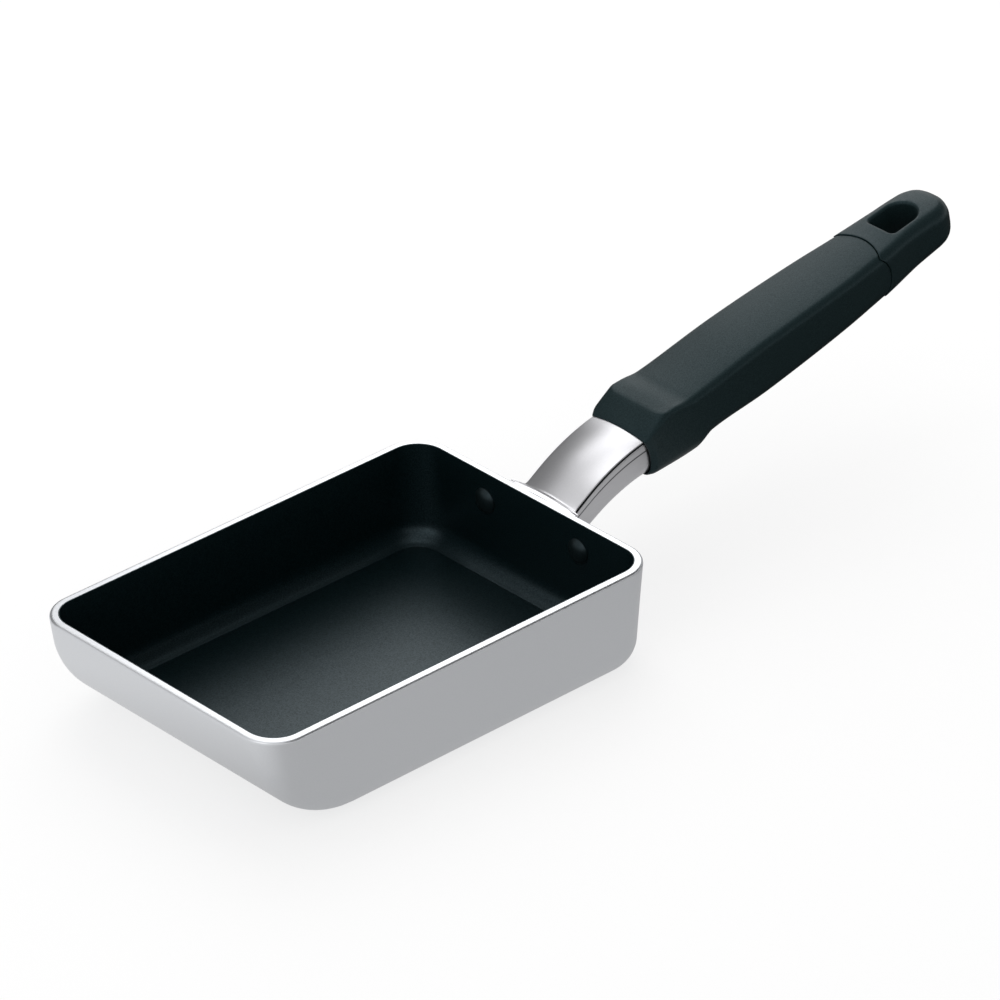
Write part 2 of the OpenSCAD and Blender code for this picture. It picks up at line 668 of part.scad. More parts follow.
module hang_outline() {
    r = hang_corner_r;
    translate([hang_mid, 0]) circle(r = hang_round_r, $fn = round_fn);
    for (s = [-1, 1]) translate([hang_from + r, s * (hang_round_r - r)]) circle(r = r, $fn = round_fn);
    translate([hang_from + r, -hang_round_r]) square([hang_mid - hang_from - r, hang_w]);
    translate([hang_from, -hang_round_r + r]) square([r, hang_w - 2 * r]);
}

module handle_screw() {
    head_at = seat_at + washer_t + spring_t;
    from = tang_end - screw_engage;
    color("#a7abaf") on_handle() rotate([0, 90, 0]) difference() {
        union() {
            translate([0, 0, from]) cylinder(d = screw_d, h = head_at - from, $fn = round_fn);
            translate([0, 0, head_at]) cylinder(d = screw_head_d, h = screw_head_h, $fn = round_fn);
        }
        for (a = [0, 90]) rotate([0, 0, a])
            translate([-screw_d / 2, -recess_w / 2, head_at + screw_head_h / 2])
                cube([screw_d, recess_w, screw_head_h]);
    }
}

module ring_washer(t) {
    difference() {
        cylinder(d = washer_d, h = t, $fn = round_fn);
        translate([0, 0, -cut]) cylinder(d = screw_d + screw_gap, h = t + 2 * cut, $fn = round_fn);
    }
}

module flat_washer() {
    color("#b4b8bb") on_handle() translate([seat_at, 0, 0]) rotate([0, 90, 0]) ring_washer(washer_t);
}

module spring_washer() {
    color("#84888b") on_handle() translate([seat_at + washer_t, 0, 0]) rotate([0, 90, 0]) difference() {
        ring_washer(spring_t);
        translate([0, -spring_split / 2, -cut]) cube([washer_d, spring_split, spring_t + 2 * cut]);
    }
}

module cap_screw() {
    color("#9fa3a6") on_handle() cap_screw_axis() difference() {
        union() {
            cylinder(d = cap_screw_d, h = cap_screw_reach, $fn = round_fn);
            translate([0, 0, -cap_screw_head_h])
                cylinder(d = cap_screw_head_d, h = cap_screw_head_h, $fn = round_fn);
        }
        for (a = [0, 90]) rotate([0, 0, a])
            translate([-cap_screw_d / 2, -cap_recess_w / 2, -cap_screw_head_h - cut])
                cube([cap_screw_d, cap_recess_w, cut + cap_screw_head_h / 2]);
    }
}

pan_body();
nonstick_coating();
wall_rivets();
handle_bracket();
neck_cover();
tang();
tang_pins();
grip();
end_cap();
handle_screw();
spring_washer();
flat_washer();
cap_screw();
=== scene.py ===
# %% [markdown]
# The rolled-omelette pan, dressed for its picture.
# The frame is the measured model of the pan: every piece has its real size and place there, in metres, with
# the origin at the centre of the flat base, +X along the handle and +Z up.
# It is loaded first.

# %% Load the frame
import json
import math

import bmesh
import bpy
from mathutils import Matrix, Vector


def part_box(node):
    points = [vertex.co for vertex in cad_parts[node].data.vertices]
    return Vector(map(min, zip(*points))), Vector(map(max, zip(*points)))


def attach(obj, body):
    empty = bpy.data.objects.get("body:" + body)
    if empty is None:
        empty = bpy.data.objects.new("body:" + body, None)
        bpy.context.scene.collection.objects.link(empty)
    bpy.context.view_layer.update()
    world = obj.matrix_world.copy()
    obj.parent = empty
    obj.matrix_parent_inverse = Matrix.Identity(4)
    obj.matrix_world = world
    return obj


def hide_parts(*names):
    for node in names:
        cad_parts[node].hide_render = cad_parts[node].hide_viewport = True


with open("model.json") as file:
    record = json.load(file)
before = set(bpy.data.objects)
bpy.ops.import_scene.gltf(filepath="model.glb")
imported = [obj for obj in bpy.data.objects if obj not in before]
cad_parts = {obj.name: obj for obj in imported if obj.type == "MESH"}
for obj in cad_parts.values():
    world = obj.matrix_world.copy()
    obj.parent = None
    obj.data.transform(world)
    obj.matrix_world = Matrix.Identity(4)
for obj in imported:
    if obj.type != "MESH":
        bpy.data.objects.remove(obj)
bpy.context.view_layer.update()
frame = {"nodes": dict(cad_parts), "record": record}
mm = 0.001

# %% [markdown]
# The camera stands where the photograph was taken from: far away, with a long lens, turned 43 degrees and
# looking down 31 degrees. A short lens close by would show the same things, but with the near corner of the
# pan far too large, so the long lens is part of the likeness.

# %% Camera
camera_turn = math.radians(-43.126)
camera_height = math.radians(30.619)
camera_place = Vector((-1.50984, -1.69056, 1.41865))
camera_data = bpy.data.cameras.new("camera")
camera_data.sensor_width = 36
camera_data.lens = 270
camera_data.clip_end = 20
camera = bpy.data.objects.new("camera", camera_data)
camera.location = camera_place
camera.rotation_euler = (math.pi / 2 - camera_height, 0, camera_turn)
bpy.context.scene.collection.objects.link(camera)
bpy.context.scene.camera = camera
print("camera looks along", [round(v, 4) for v in camera.matrix_basis.to_3x3() @ Vector((0, 0, -1))])

# %% [markdown]
# A light, a floor and a finish are each a small tree of shader nodes. Two helpers keep the trees short: one
# adds a node with its settings and values, and the other shows one shader to the rays that the camera and
# glossy or clear surfaces send, and another to all other rays.

# %% Helpers for shader nodes
def add_node(tree, kind, values=None, **settings):
    """Adds a shader node with its settings, and sets the values of its inputs."""
    node = tree.nodes.new("ShaderNode" + kind)
    for name, setting in settings.items():
        setattr(node, name, setting)
    for name, value in (values or {}).items():
        node.inputs[name].default_value = value
    return node


def where_seen(tree, unseen, seen):
    """Mixes two shaders by the kind of ray, with the Light Path node."""
    path = add_node(tree, "LightPath")
    camera_or_glossy = add_node(tree, "Math", operation="MAXIMUM")
    any_of_them = add_node(tree, "Math", operation="MAXIMUM")
    mix = add_node(tree, "MixShader")
    tree.links.new(path.outputs["Is Camera Ray"], camera_or_glossy.inputs[0])
    tree.links.new(path.outputs["Is Glossy Ray"], camera_or_glossy.inputs[1])
    tree.links.new(camera_or_glossy.outputs["Value"], any_of_them.inputs[0])
    tree.links.new(path.outputs["Is Transmission Ray"], any_of_them.inputs[1])
    tree.links.new(any_of_them.outputs["Value"], mix.inputs["Fac"])
    tree.links.new(unseen, mix.inputs[1])
    tree.links.new(seen, mix.inputs[2])
    return mix.outputs["Shader"]


print("helpers for shader nodes are ready")

# %% [markdown]
# The studio is white all round. The world gives a soft even light, and a brighter white where the camera
# and glossy surfaces see it. Stronger lamps would make the background white too, but they would bleach the
# metal, so the white comes from the kind of ray.

# %% World
world = bpy.data.worlds.new("studio")
bpy.context.scene.world = world
world.use_nodes = True
tree = world.node_tree
soft_light = tree.nodes["Background"]
soft_light.inputs["Color"].default_value = (1, 1, 1, 1)
soft_light.inputs["Strength"].default_value = 0.7
white = add_node(tree, "Background", {"Strength": 1})
sky = where_seen(tree, soft_light.outputs["Background"], white.outputs["Background"])
tree.links.new(sky, tree.nodes["World Output"].inputs["Surface"])
print("world: soft light, and white where it is seen")


# %% [markdown]
# Three soft lamps give the pan its shape. The large one stands far behind it, and its reflection lies in
# the black lining. A small one hangs overhead and lights the grip's top. A weak one faces the front wall.

# %% Lamps
def lamp(name, place, target, size, power):
    """A square soft lamp at a place, turned to a target."""
    data = bpy.data.lights.new(name, "AREA")
    data.size = size
    data.energy = power
    made = bpy.data.objects.new(name, data)
    made.location = place
    made.rotation_euler = (Vector(target) - Vector(place)).to_track_quat("-Z", "Y").to_euler()
    bpy.context.scene.collection.objects.link(made)
    return made


pan_middle = (0.05, 0, 0.04)
lamp("back_lamp", (0.728, 0.931, 0.923), pan_middle, 1.2, 5.9)
lamp("overhead_lamp", (0.12, 0.25, 1.18), (0.15, 0, 0.06), 0.5, 0.95)
lamp("front_lamp", (-1.0, -0.2, 0.6), pan_middle, 0.6, 1.0)

# %% [markdown]
# The floor is a plain sheet. Its own grey paint takes the pan's soft shadow, and a little glow, which only
# seeing rays meet, lifts it to the background's white.

# %% Floor
bpy.ops.object.select_all(action="DESELECT")
bpy.ops.mesh.primitive_plane_add(size=12, location=(0, 0, 0))
floor = bpy.context.object
floor.name = "floor"
floor_paint = bpy.data.materials.new("floor_white")
floor_paint.use_nodes = True
tree = floor_paint.node_tree
floor_surface = tree.nodes["Principled BSDF"]
floor_surface.inputs["Base Color"].default_value = (0.35, 0.35, 0.35, 1)
floor_surface.inputs["Roughness"].default_value = 1
floor_surface.inputs["Specular IOR Level"].default_value = 0
floor_glow = add_node(tree, "Emission", {"Strength": 0.68})
no_glow = add_node(tree, "Emission", {"Strength": 0})
glow = where_seen(tree, no_glow.outputs["Emission"], floor_glow.outputs["Emission"])
floor_sum = add_node(tree, "AddShader")
tree.links.new(floor_surface.outputs["BSDF"], floor_sum.inputs[0])
tree.links.new(glow, floor_sum.inputs[1])
tree.links.new(floor_sum.outputs["Shader"], tree.nodes["Material Output"].inputs["Surface"])
floor.data.materials.append(floor_paint)
print("floor laid")


# %% [markdown]
# Metal is as light as what it mirrors, so a studio sets cards and flags round it. Here they are planes that
# only reflections see. Two grey cards lie on the floor, one before the pan and one behind it, with shades
# that change along a line: the outer walls mirror the first, and the neck's low side the second. A dark
# flag stands far behind the left side and gives the neck its darker edge, and another leans over the right
# side, where it darkens the inner left fillet and the round between the grip's top and its side.

# %% Cards and flags
def card(name, size, shades, line=(0, 0, 0), **placing):
    """A plane for reflections, with one grey shade, or with shades at two places along a line."""
    bpy.ops.object.select_all(action="DESELECT")
    bpy.ops.mesh.primitive_plane_add(size=1, **placing)
    made = bpy.context.object
    made.name = name
    made.scale = (*size, 1)
    bpy.ops.object.transform_apply(location=True, rotation=True, scale=True)
    made.visible_camera = made.visible_diffuse = made.visible_shadow = False
    paint = bpy.data.materials.new(name)
    paint.use_nodes = True
    tree = paint.node_tree
    tree.nodes.remove(tree.nodes["Principled BSDF"])
    ends = list(shades.items())
    glow = add_node(tree, "Emission", {"Strength": ends[0][1]})
    if len(ends) > 1:
        place = add_node(tree, "TexCoord")
        way = add_node(tree, "VectorMath", {1: line}, operation="DOT_PRODUCT")
        level = add_node(tree, "MapRange", {"From Min": ends[0][0], "From Max": ends[1][0],
                                            "To Min": ends[0][1], "To Max": ends[1][1]})
        tree.links.new(place.outputs["Object"], way.inputs[0])
        tree.links.new(way.outputs["Value"], level.inputs["Value"])
        tree.links.new(level.outputs["Result"], glow.inputs["Strength"])
    tree.links.new(glow.outputs["Emission"], tree.nodes["Material Output"].inputs["Surface"])
    made.data.materials.append(paint)


card_lift = 0.2 * mm
card("front_card", (0.9, 1.6), {-0.13: 0.82, -0.05: 0.52}, (1, -0.5, 0), location=(-0.25, 0, card_lift))
card("back_card", (0.7, 1.6), {0.13: 0.52, 0.2: 0.04}, (1, 0, 0), location=(0.55, 0, card_lift))
card("side_flag", (1.1, 1.3), {0: 0.2}, location=(0, 0.8, 0.3), rotation=(math.pi / 2, 0, 0))
card("right_flag", (1.2, 2.6), {0: 0.08}, location=(0.7, -0.63, 0.85),
     rotation=(0, math.radians(48), math.radians(-45)))
print("two cards and two flags set")


# %% [markdown]
# Every finish reads Object coordinates, which are the frame's own metres, so a grain has its real size. A
# photograph of the surface could be laid on instead, but noise needs no file and doesn't stretch. One noise
# does three things: it roughens the surface a little, it varies the colour, and on the coated and moulded
# pieces it varies the gloss, which gives them their fine sparkle. The black pieces mirror the studio in a
# slightly cold tone.

# %% Finishes
finishes = {}


def new_finish(name, colour, metallic, roughness):
    """A material whose Principled shader has a colour, is metal or not, and has a roughness."""
    made = bpy.data.materials.new(name)
    made.use_nodes = True
    surface = made.node_tree.nodes["Principled BSDF"]
    surface.inputs["Base Color"].default_value = (*colour, 1)
    surface.inputs["Metallic"].default_value = metallic
    surface.inputs["Roughness"].default_value = roughness
    finishes[name] = made
    return made


def add_grain(material, size, depth, shade, sparkle=0, stretch=(1, 1, 1)):
    """Noise of a real size: it moves the surface by depth, and varies its colour and its gloss."""
    tree = material.node_tree
    surface = tree.nodes["Principled BSDF"]
    place = add_node(tree, "TexCoord")
    mapping = add_node(tree, "Mapping", {"Scale": stretch})
    noise = add_node(tree, "TexNoise", {"Scale": 1 / size, "Detail": 3})
    bump = add_node(tree, "Bump", {"Distance": depth})
    ramp = add_node(tree, "ValToRGB")
    colour = surface.inputs["Base Color"].default_value[:3]
    ramp.color_ramp.elements[0].color = (*[c * (1 - shade) for c in colour], 1)
    ramp.color_ramp.elements[1].color = (*[min(1, c * (1 + shade)) for c in colour], 1)
    tree.links.new(place.outputs["Object"], mapping.inputs["Vector"])
    tree.links.new(mapping.outputs["Vector"], noise.inputs["Vector"])
    tree.links.new(noise.outputs["Fac"], bump.inputs["Height"])
    tree.links.new(bump.outputs["Normal"], surface.inputs["Normal"])
    tree.links.new(noise.outputs["Fac"], ramp.inputs["Fac"])
    tree.links.new(ramp.outputs["Color"], surface.inputs["Base Color"])
    if sparkle:
        gloss = surface.inputs["Specular IOR Level"]
        level = add_node(tree, "MapRange", {"From Min": 0.3, "From Max": 0.7,
                                            "To Min": gloss.default_value * (1 - sparkle),
                                            "To Max": gloss.default_value * (1 + sparkle)})
        tree.links.new(noise.outputs["Fac"], level.inputs["Value"])
        tree.links.new(level.outputs["Result"], gloss)


def metal(name, colour, roughness):
    return new_finish(name, colour, 1, roughness)


def black_coat(name, colour, gloss, roughness):
    """A dark coat or plastic, with a slightly cold reflection of a given strength."""
    made = new_finish(name, colour, 0, roughness)
    surface = made.node_tree.nodes["Principled BSDF"]
    surface.inputs["Specular IOR Level"].default_value = gloss
    surface.inputs["Specular Tint"].default_value = (0.65, 0.89, 1, 1)
    return made


brushing = (0.1, 1, 1)
lining_black = (0.001, 0.0055, 0.0065)
handle_black = (0.009, 0.019, 0.0205)
add_grain(metal("cast_aluminium", (0.725, 0.74, 0.765), 0.36), 0.6 * mm, 0.01 * mm, 0.03)
add_grain(metal("brushed_metal", (0.64, 0.64, 0.66), 0.3), 0.5 * mm, 0.01 * mm, 0.05, stretch=brushing)
add_grain(metal("plain_steel", (0.4, 0.41, 0.42), 0.4), 0.5 * mm, 0.01 * mm, 0.08, stretch=brushing)
add_grain(metal("plated_steel", (0.55, 0.56, 0.57), 0.25), 0.5 * mm, 0.005 * mm, 0.06)
# Painted shade: a grey finish that stands for the thin line of shade along the bracket's bend.
metal("bend_painted_shade", (0.3, 0.305, 0.32), 0.4)
# Painted shade: a near-black finish that stands for the shade in the narrow groove under the neck's cover.
add_grain(new_finish("groove_painted_shade", (0.012, 0.015, 0.017), 0, 0.7), 0.5 * mm, 0.01 * mm, 0.2)
add_grain(black_coat("nonstick_black", lining_black, 0.46, 0.36), 0.45 * mm, 0.02 * mm, 0.3, 0.4)
add_grain(black_coat("coated_rivet", (0.003, 0.006, 0.0065), 0.4, 0.36), 0.3 * mm, 0.02 * mm, 0.3)
add_grain(black_coat("black_grip", handle_black, 0.235, 0.42), 0.45 * mm, 0.02 * mm, 0.25, 0.35)
add_grain(black_coat("black_cap", handle_black, 0.25, 0.4), 0.45 * mm, 0.02 * mm, 0.25, 0.35)
print("finishes:", ", ".join(finishes))

# %% [markdown]
# Each node of the frame takes the finish that the record names for it. The six hidden ones, such as the tang
# and the screws, keep their solids. The others are only stand-ins, until their own pieces are modelled.

# %% Dress the frame's nodes
for subpart in frame["record"]["subparts"]:
    node = frame["nodes"][subpart["node"]]
    node.data.materials.clear()
    node.data.materials.append(finishes[subpart["material_slot"]])

# %% [markdown]
# Most pieces of the pan are long forms whose section changes slowly: walls that lean, a neck that bends and
# a grip that swells. They could be bevelled blocks, but a bevel can't change its radius along the way. So
# they are made as a blacksmith draws out a bar: a circle is laid on the first section, and its edge is
# extruded from section to section. The helpers for that come first.

# %% Helpers for outlines and skins
hold = 0.4 * mm
merge_distance = 0.001 * mm


def quarter(centre, radius, start, steps, sweep=90):
    """Points on a quarter of a circle, or on another sweep of it, from a start angle in degrees."""
    turns = [math.radians(start + sweep * i / steps) for i in range(steps + 1)]
    return [Vector(centre) + radius * Vector((math.cos(a), math.sin(a))) for a in turns]


def outline(*arcs):
    """A closed outline through arcs. A point close to each end of a straight keeps it flat."""
    points = []
    for arc, following in zip(arcs, arcs[1:] + arcs[:1]):
        gap = following[0] - arc[-1]
        step = gap.normalized() * min(hold, gap.length / 3)
        points += [*arc, arc[-1] + step, following[0] - step]
    return points


def activate(piece):
    """Selects one piece alone, so that the next operator acts on nothing else."""
    if bpy.context.object and bpy.context.object.mode != "OBJECT":
        bpy.ops.object.mode_set(mode="OBJECT")
    bpy.ops.object.select_all(action="DESELECT")
    piece.select_set(True)
    bpy.context.view_layer.objects.active = piece


def skin(name, rings):
    """Extrudes the edge of a circle from ring to ring, and fills both ends."""
    bpy.ops.object.select_all(action="DESELECT")
    bpy.ops.mesh.primitive_circle_add(vertices=len(rings[0]), fill_type="NOTHING", enter_editmode=True)
    bpy.ops.mesh.select_mode(type="VERT")
    piece = bpy.context.object
    piece.name = piece.data.name = name
    for i, ring in enumerate(rings):
        if i:
            bpy.ops.mesh.extrude_edges_indiv()
        mesh = bmesh.from_edit_mesh(piece.data)
        for vertex, place in zip([v for v in mesh.verts if v.select], ring):
            vertex.co = place
        bmesh.update_edit_mesh(piece.data)
    bpy.ops.mesh.edge_face_add()
    bpy.ops.mesh.select_all(action="DESELECT")
    bpy.ops.mesh.select_non_manifold()
    bpy.ops.mesh.edge_face_add()
    bpy.ops.mesh.select_all(action="SELECT")
    bpy.ops.mesh.remove_doubles(threshold=merge_distance)
    bpy.ops.mesh.normals_make_consistent(inside=False)
    bpy.ops.object.mode_set(mode="OBJECT")
    print(name, "skinned with", len(rings), "rings of", len(rings[0]), "points")
    return piece


def combine(piece, other, operation):
    """Adds the other shape to the piece or cuts it out, and throws the other away."""
    activate(piece)
    boolean = piece.modifiers.new("combine", "BOOLEAN")
    boolean.operation = operation
    boolean.solver = "EXACT"
    boolean.object = other
    bpy.ops.object.modifier_apply(modifier=boolean.name)
    bpy.data.objects.remove(other)


def cut_away(piece, cutter):
    combine(piece, cutter, "DIFFERENCE")


def hand_over(piece, node, finish, smooth=30):
    """Shades the piece, gives it its finish, and puts it in the place of a node of the frame."""
    activate(piece)
    bpy.ops.object.shade_smooth_by_angle(angle=math.radians(smooth))
    piece.data.materials.append(finishes[finish])
    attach(piece, "root")
    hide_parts(node)
    print(piece.name, "stands for", node, "with", len(piece.data.polygons), "faces")


print("helpers for skins are ready")

# %% [markdown]
# The tray is cast. Its long walls and its handle wall stand upright on an 8 mm fillet, and its front wall
# leans out and sweeps into the floor on a large radius, so that an omelette can be rolled up it. Inside and
# outside are the same form, grown by the wall's thickness, so one set of functions gives every skin: t is
# how far a skin is grown, and h is a height above that skin's own floor.

# %% The form of the pan
pan_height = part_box("pan_body")[1].z
pan_length = 179 * mm
pan_width = 120 * mm
wall = 3 * mm
coat = 0.4 * mm
mouth_corner = 11.4 * mm
floor_corner = 16 * mm
floor_fillet = 8 * mm
front_sweep = 36 * mm
front_lean = math.radians(15)
least_height = 0.12 * mm
corner_steps = 14
fillet_steps = 14
sweep_steps = 14
wall_face = pan_length / 2 + wall


def sweep_top(t):
    return (front_sweep + t) * (1 - math.sin(front_lean))


def fillet_reach(h, t):
    """How far the floor's fillet has come out at a height, and how far round it is."""
    f = floor_fillet + t
    turn = math.acos(1 - h / f) if h < f else math.pi / 2
    return f * math.sin(turn), turn


def low_outline(h, t, full):
    """Outline of the form below the straight walls. The edge fillet is carried round the front sweep."""
    f, r = floor_fillet + t, front_sweep + t
    out, turn = fillet_reach(h, t)
    if h < f:
        corner = floor_corner + t - f + out
    else:
        corner = floor_corner + t + (mouth_corner - floor_corner) * (h - f) / (full - f)
    back = pan_length / 2 + t - f + out - corner
    side = pan_width / 2 + t - f + out - corner
    front_axis = (-pan_length / 2 - t / math.cos(front_lean) + (full - sweep_top(t)) * math.tan(front_lean)
                  + r * math.cos(front_lean))
    front = []
    for i in range(corner_steps + 1):
        a = turn * (1 - i / corner_steps)
        reach = r - f + f * math.cos(a)
        front.append(Vector((front_axis - math.sqrt(max(0, reach ** 2 - (r - h) ** 2)),
                             pan_width / 2 + t - f + f * math.sin(a))))
    mirrored = [Vector((p.x, -p.y)) for p in reversed(front)]
    return outline(quarter((back, side), corner, 0, corner_steps), front, mirrored,
                   quarter((back, -side), corner, 270, corner_steps))


def rim_outline(t, trim=0):
    """Outline at the rim, drawn in by trim."""
    r = mouth_corner + t - trim
    back = pan_length / 2 + t - trim - r
    front = -pan_length / 2 - t / math.cos(front_lean) + trim + r
    side = pan_width / 2 + t - trim - r
    centres = [(back, side), (front, side), (front, -side), (back, -side)]
    return outline(*[quarter(centre, r, 90 * i, corner_steps) for i, centre in enumerate(centres)])


def at_height(points, z):
    return [(p.x, p.y, z) for p in points]


def pan_rings(t, base):
    """The rings of one skin, from its floor to the foot of the straight walls."""
    f, r = floor_fillet + t, front_sweep + t
    start, end = math.acos(1 - f / r), math.pi / 2 - front_lean
    heights = [f * (1 - math.cos(math.pi / 2 * i / fillet_steps)) for i in range(fillet_steps + 1)]
    for i in range(1, sweep_steps + 1):
        heights.append(r * (1 - math.cos(start + (end - start) * i / sweep_steps)))
    full = pan_height - base
    return [at_height(low_outline(max(h, least_height), t, full), base + h) for h in heights]


def rim_round(t, radius, outwards, steps=6):
    """Rings round the broken edge at the rim, from the wall up to the flat top."""
    rings = []
    for i in range(steps + 1):
        a = math.pi / 2 * i / steps
        trim = outwards * radius * (1 - math.cos(a))
        rings.append(at_height(rim_outline(t, trim), pan_height - radius + radius * math.sin(a)))
    return rings


print("pan form: wall outside at x =", round(wall_face / mm, 2), "mm")

# %% [markdown]
# The casting is one skin: up the outside, over the rim and down the inside. The rim's outer edge is broken
# by a millimetre, as on the real pan, and its top is left flat, because the real rim is machined.

# %% The cast tray
rim_edge = 1 * mm
outside = pan_rings(wall, 0)
below_edge = [at_height(rim_outline(wall), pan_height - rim_edge - hold)]
edge = rim_round(wall, rim_edge, 1)
flat_top = [at_height(rim_outline(wall, rim_edge + hold), pan_height),
            at_height(rim_outline(0, -hold), pan_height),
            at_height(rim_outline(0), pan_height)]
inside = list(reversed(pan_rings(0, wall)))
casting = skin("pan_casting", outside + below_edge + edge + flat_top + inside)

# %% [markdown]
# The lining covers the whole inside up to the rim. It is a skin of its own, with a small round at its upper
# edge, so that its black edge shows beside the bright rim.

# %% The non-stick lining
lining_edge = 0.15 * mm
lining_inside = pan_rings(-coat, wall + coat)
lining = skin("pan_lining", lining_inside + rim_round(-coat, lining_edge, -1)
              + [at_height(rim_outline(0), pan_height)] + inside)

# %% [markdown]
# Two rivets hold the handle. Their shanks go through the wall, so both skins get the holes first: cylinders
# are laid through the wall and cut away from each. Circles cut into the mesh by hand would need the wall's
# faces laid round them, and a cylinder cuts the true round in one step.

# %% Rivet holes
rivet_spread = 24.5 * mm
rivet_height = pan_height - 11.5 * mm
shank_radius = 2.5 * mm
flange_thickness = 2 * mm
flange_face = wall_face + flange_thickness
rivet_places = [Vector((0, side * rivet_spread, rivet_height)) for side in (-1, 1)]
round_sides = 48


def cut_rivet_holes(piece, x):
    """Cuts the holes of both shanks through a piece at the place x."""
    for place in rivet_places:
        bpy.ops.object.select_all(action="DESELECT")
        bpy.ops.mesh.primitive_cylinder_add(vertices=round_sides, radius=shank_radius, depth=4 * wall,
                                            location=place + Vector((x, 0, 0)),
                                            rotation=(0, math.pi / 2, 0))
        cut_away(piece, bpy.context.object)


cut_rivet_holes(casting, wall_face)
cut_rivet_holes(lining, wall_face)
hand_over(casting, "pan_body", "cast_aluminium")
hand_over(lining, "nonstick_coating", "nonstick_black")

# %% [markdown]
# A rivet is round all over, so it is made as on a lathe: a profile from the top of its domed head to its
# formed tail is drawn with single vertices, extruded from point to point, and spun once round its own axis.
# A squashed sphere on a cylinder would be quicker, but would have no lip at its head.

# %% The rivets
head_radius = 5 * mm
head_height = 2.4 * mm
tail_radius = 4 * mm
tail_height = 1.6 * mm
dome_steps = 8


def turned(name, profile, place):
    """Spins a profile of (x, radius) pairs round a line along x through a place."""
    bpy.ops.object.select_all(action="DESELECT")
    bpy.ops.mesh.primitive_plane_add(size=mm, enter_editmode=True)
    bpy.ops.mesh.merge(type="CENTER")
    piece = bpy.context.object
    piece.name = piece.data.name = name
    points = [place + Vector((x, 0, radius)) for x, radius in profile]
    bpy.ops.transform.translate(value=points[0])
    for a, b in zip(points, points[1:]):
        bpy.ops.mesh.extrude_vertices_move(TRANSFORM_OT_translate={"value": b - a})
    bpy.ops.mesh.select_all(action="SELECT")
    bpy.ops.mesh.spin(steps=round_sides, angle=math.tau, center=place, axis=(1, 0, 0))
    bpy.ops.mesh.select_all(action="SELECT")
    bpy.ops.mesh.remove_doubles(threshold=merge_distance)
    bpy.ops.mesh.normals_make_consistent(inside=False)
    bpy.ops.object.mode_set(mode="OBJECT")
    return piece


def dome(base, height, radius):
    """Profile of a shallow dome from its top to its edge: it starts at base and grows along x by height."""
    sphere = (radius ** 2 + height ** 2) / (2 * height)
    span = math.asin(radius / sphere)
    turns = [span * i / dome_steps for i in range(dome_steps + 1)]
    return [(base + sphere * (1 - math.cos(turn)), sphere * math.sin(turn)) for turn in turns]


head_back = pan_length / 2 - coat
head_front = head_back - head_height
lip = 0.4 * mm
head = dome(head_front, head_height - lip, head_radius)
tail = [(flange_face + tail_height - (x - flange_face), r) for x, r in
        reversed(dome(flange_face, tail_height - lip, tail_radius))]
profile = (head + [(head_back, head_radius), (head_back, shank_radius), (flange_face, shank_radius),
                   (flange_face, tail_radius)] + tail)
rivets = [turned("rivet", profile, place) for place in rivet_places]
activate(rivets[0])
rivets[1].select_set(True)
bpy.ops.object.join()
rivets[0].name = rivets[0].data.name = "handle_rivets"
hand_over(rivets[0], "wall_rivets", "coated_rivet")

# %% [markdown]
# The neck leaves the wall at 33 degrees and bends down to the handle's 12 degrees. Everything behind the
# wall is laid out along that path: a place s runs along the upper edge of the neck from the wall, and a
# section is drawn as (side, height) pairs square to the path.

# %% The neck's path
handle_rise = math.radians(12.2)
neck_rise = math.radians(33)
neck_lean = neck_rise - handle_rise
neck_half = 13 * mm
neck_run = 14 * mm
bend_radius = 80 * mm
neck_reach = 1.3 * mm
neck_insert = 14 * mm
axis_drop = 7 * mm


def along(a):
    return Vector((math.cos(a), math.sin(a)))


def across(a):
    return Vector((-math.sin(a), math.cos(a)))


bend_end = Vector((-neck_reach, axis_drop))
bend_centre = bend_end - Vector((0, bend_radius))
bend_start = bend_centre + bend_radius * across(neck_lean)
neck_start = bend_start - neck_run * along(neck_lean)
neck_foot = Vector((wall_face, pan_height - 7.2 * mm))
handle_mouth = neck_foot - neck_start.x * along(handle_rise) - neck_start.y * across(handle_rise)
bend_length = bend_radius * neck_lean
mouth_place = neck_run + bend_length + neck_reach


def on_handle(x, side, height):
    """A point in the handle's own frame: x from the mouth of the grip, height above the handle's axis."""
    p = handle_mouth + x * along(handle_rise) + height * across(handle_rise)
    return Vector((p.x, side, p.y))


def neck_ring(section, s):
    """A section square to the neck's path at the place s."""
    if s < neck_run:
        turn, edge = neck_lean, neck_start + s * along(neck_lean)
    elif s < neck_run + bend_length:
        turn = neck_lean * (1 - (s - neck_run) / bend_length)
        edge = bend_centre + bend_radius * across(turn)
    else:
        turn, edge = 0, bend_end + Vector((s - neck_run - bend_length, 0))
    points = [(side, edge + height * across(turn)) for side, height in section]
    return [on_handle(p.x, side, p.y) for side, p in points]


def upright_ring(section, x):
    """The same section where an upright plane cuts the straight part of the neck."""
    edge = neck_foot.y + (x - wall_face) * math.tan(neck_rise)
    return [Vector((x, side, edge + height / math.cos(neck_rise))) for side, height in section]


def places(first, last, count):
    return [first + (last - first) * i / (count - 1) for i in range(count)]


bend_places = places(neck_run, neck_run + bend_length, 13)
print("neck: mouth of the grip at", round(mouth_place / mm, 1), "mm along it")

# %% [markdown]
# The cover is a thin crowned sheet. Near the wall it flares to both sides and turns up on a small hollow
# radius, so its last rings swing round that hollow. A plain extrusion with a bevelled joint would do for
# the straight part, but only rings can carry the crown through the hollow.

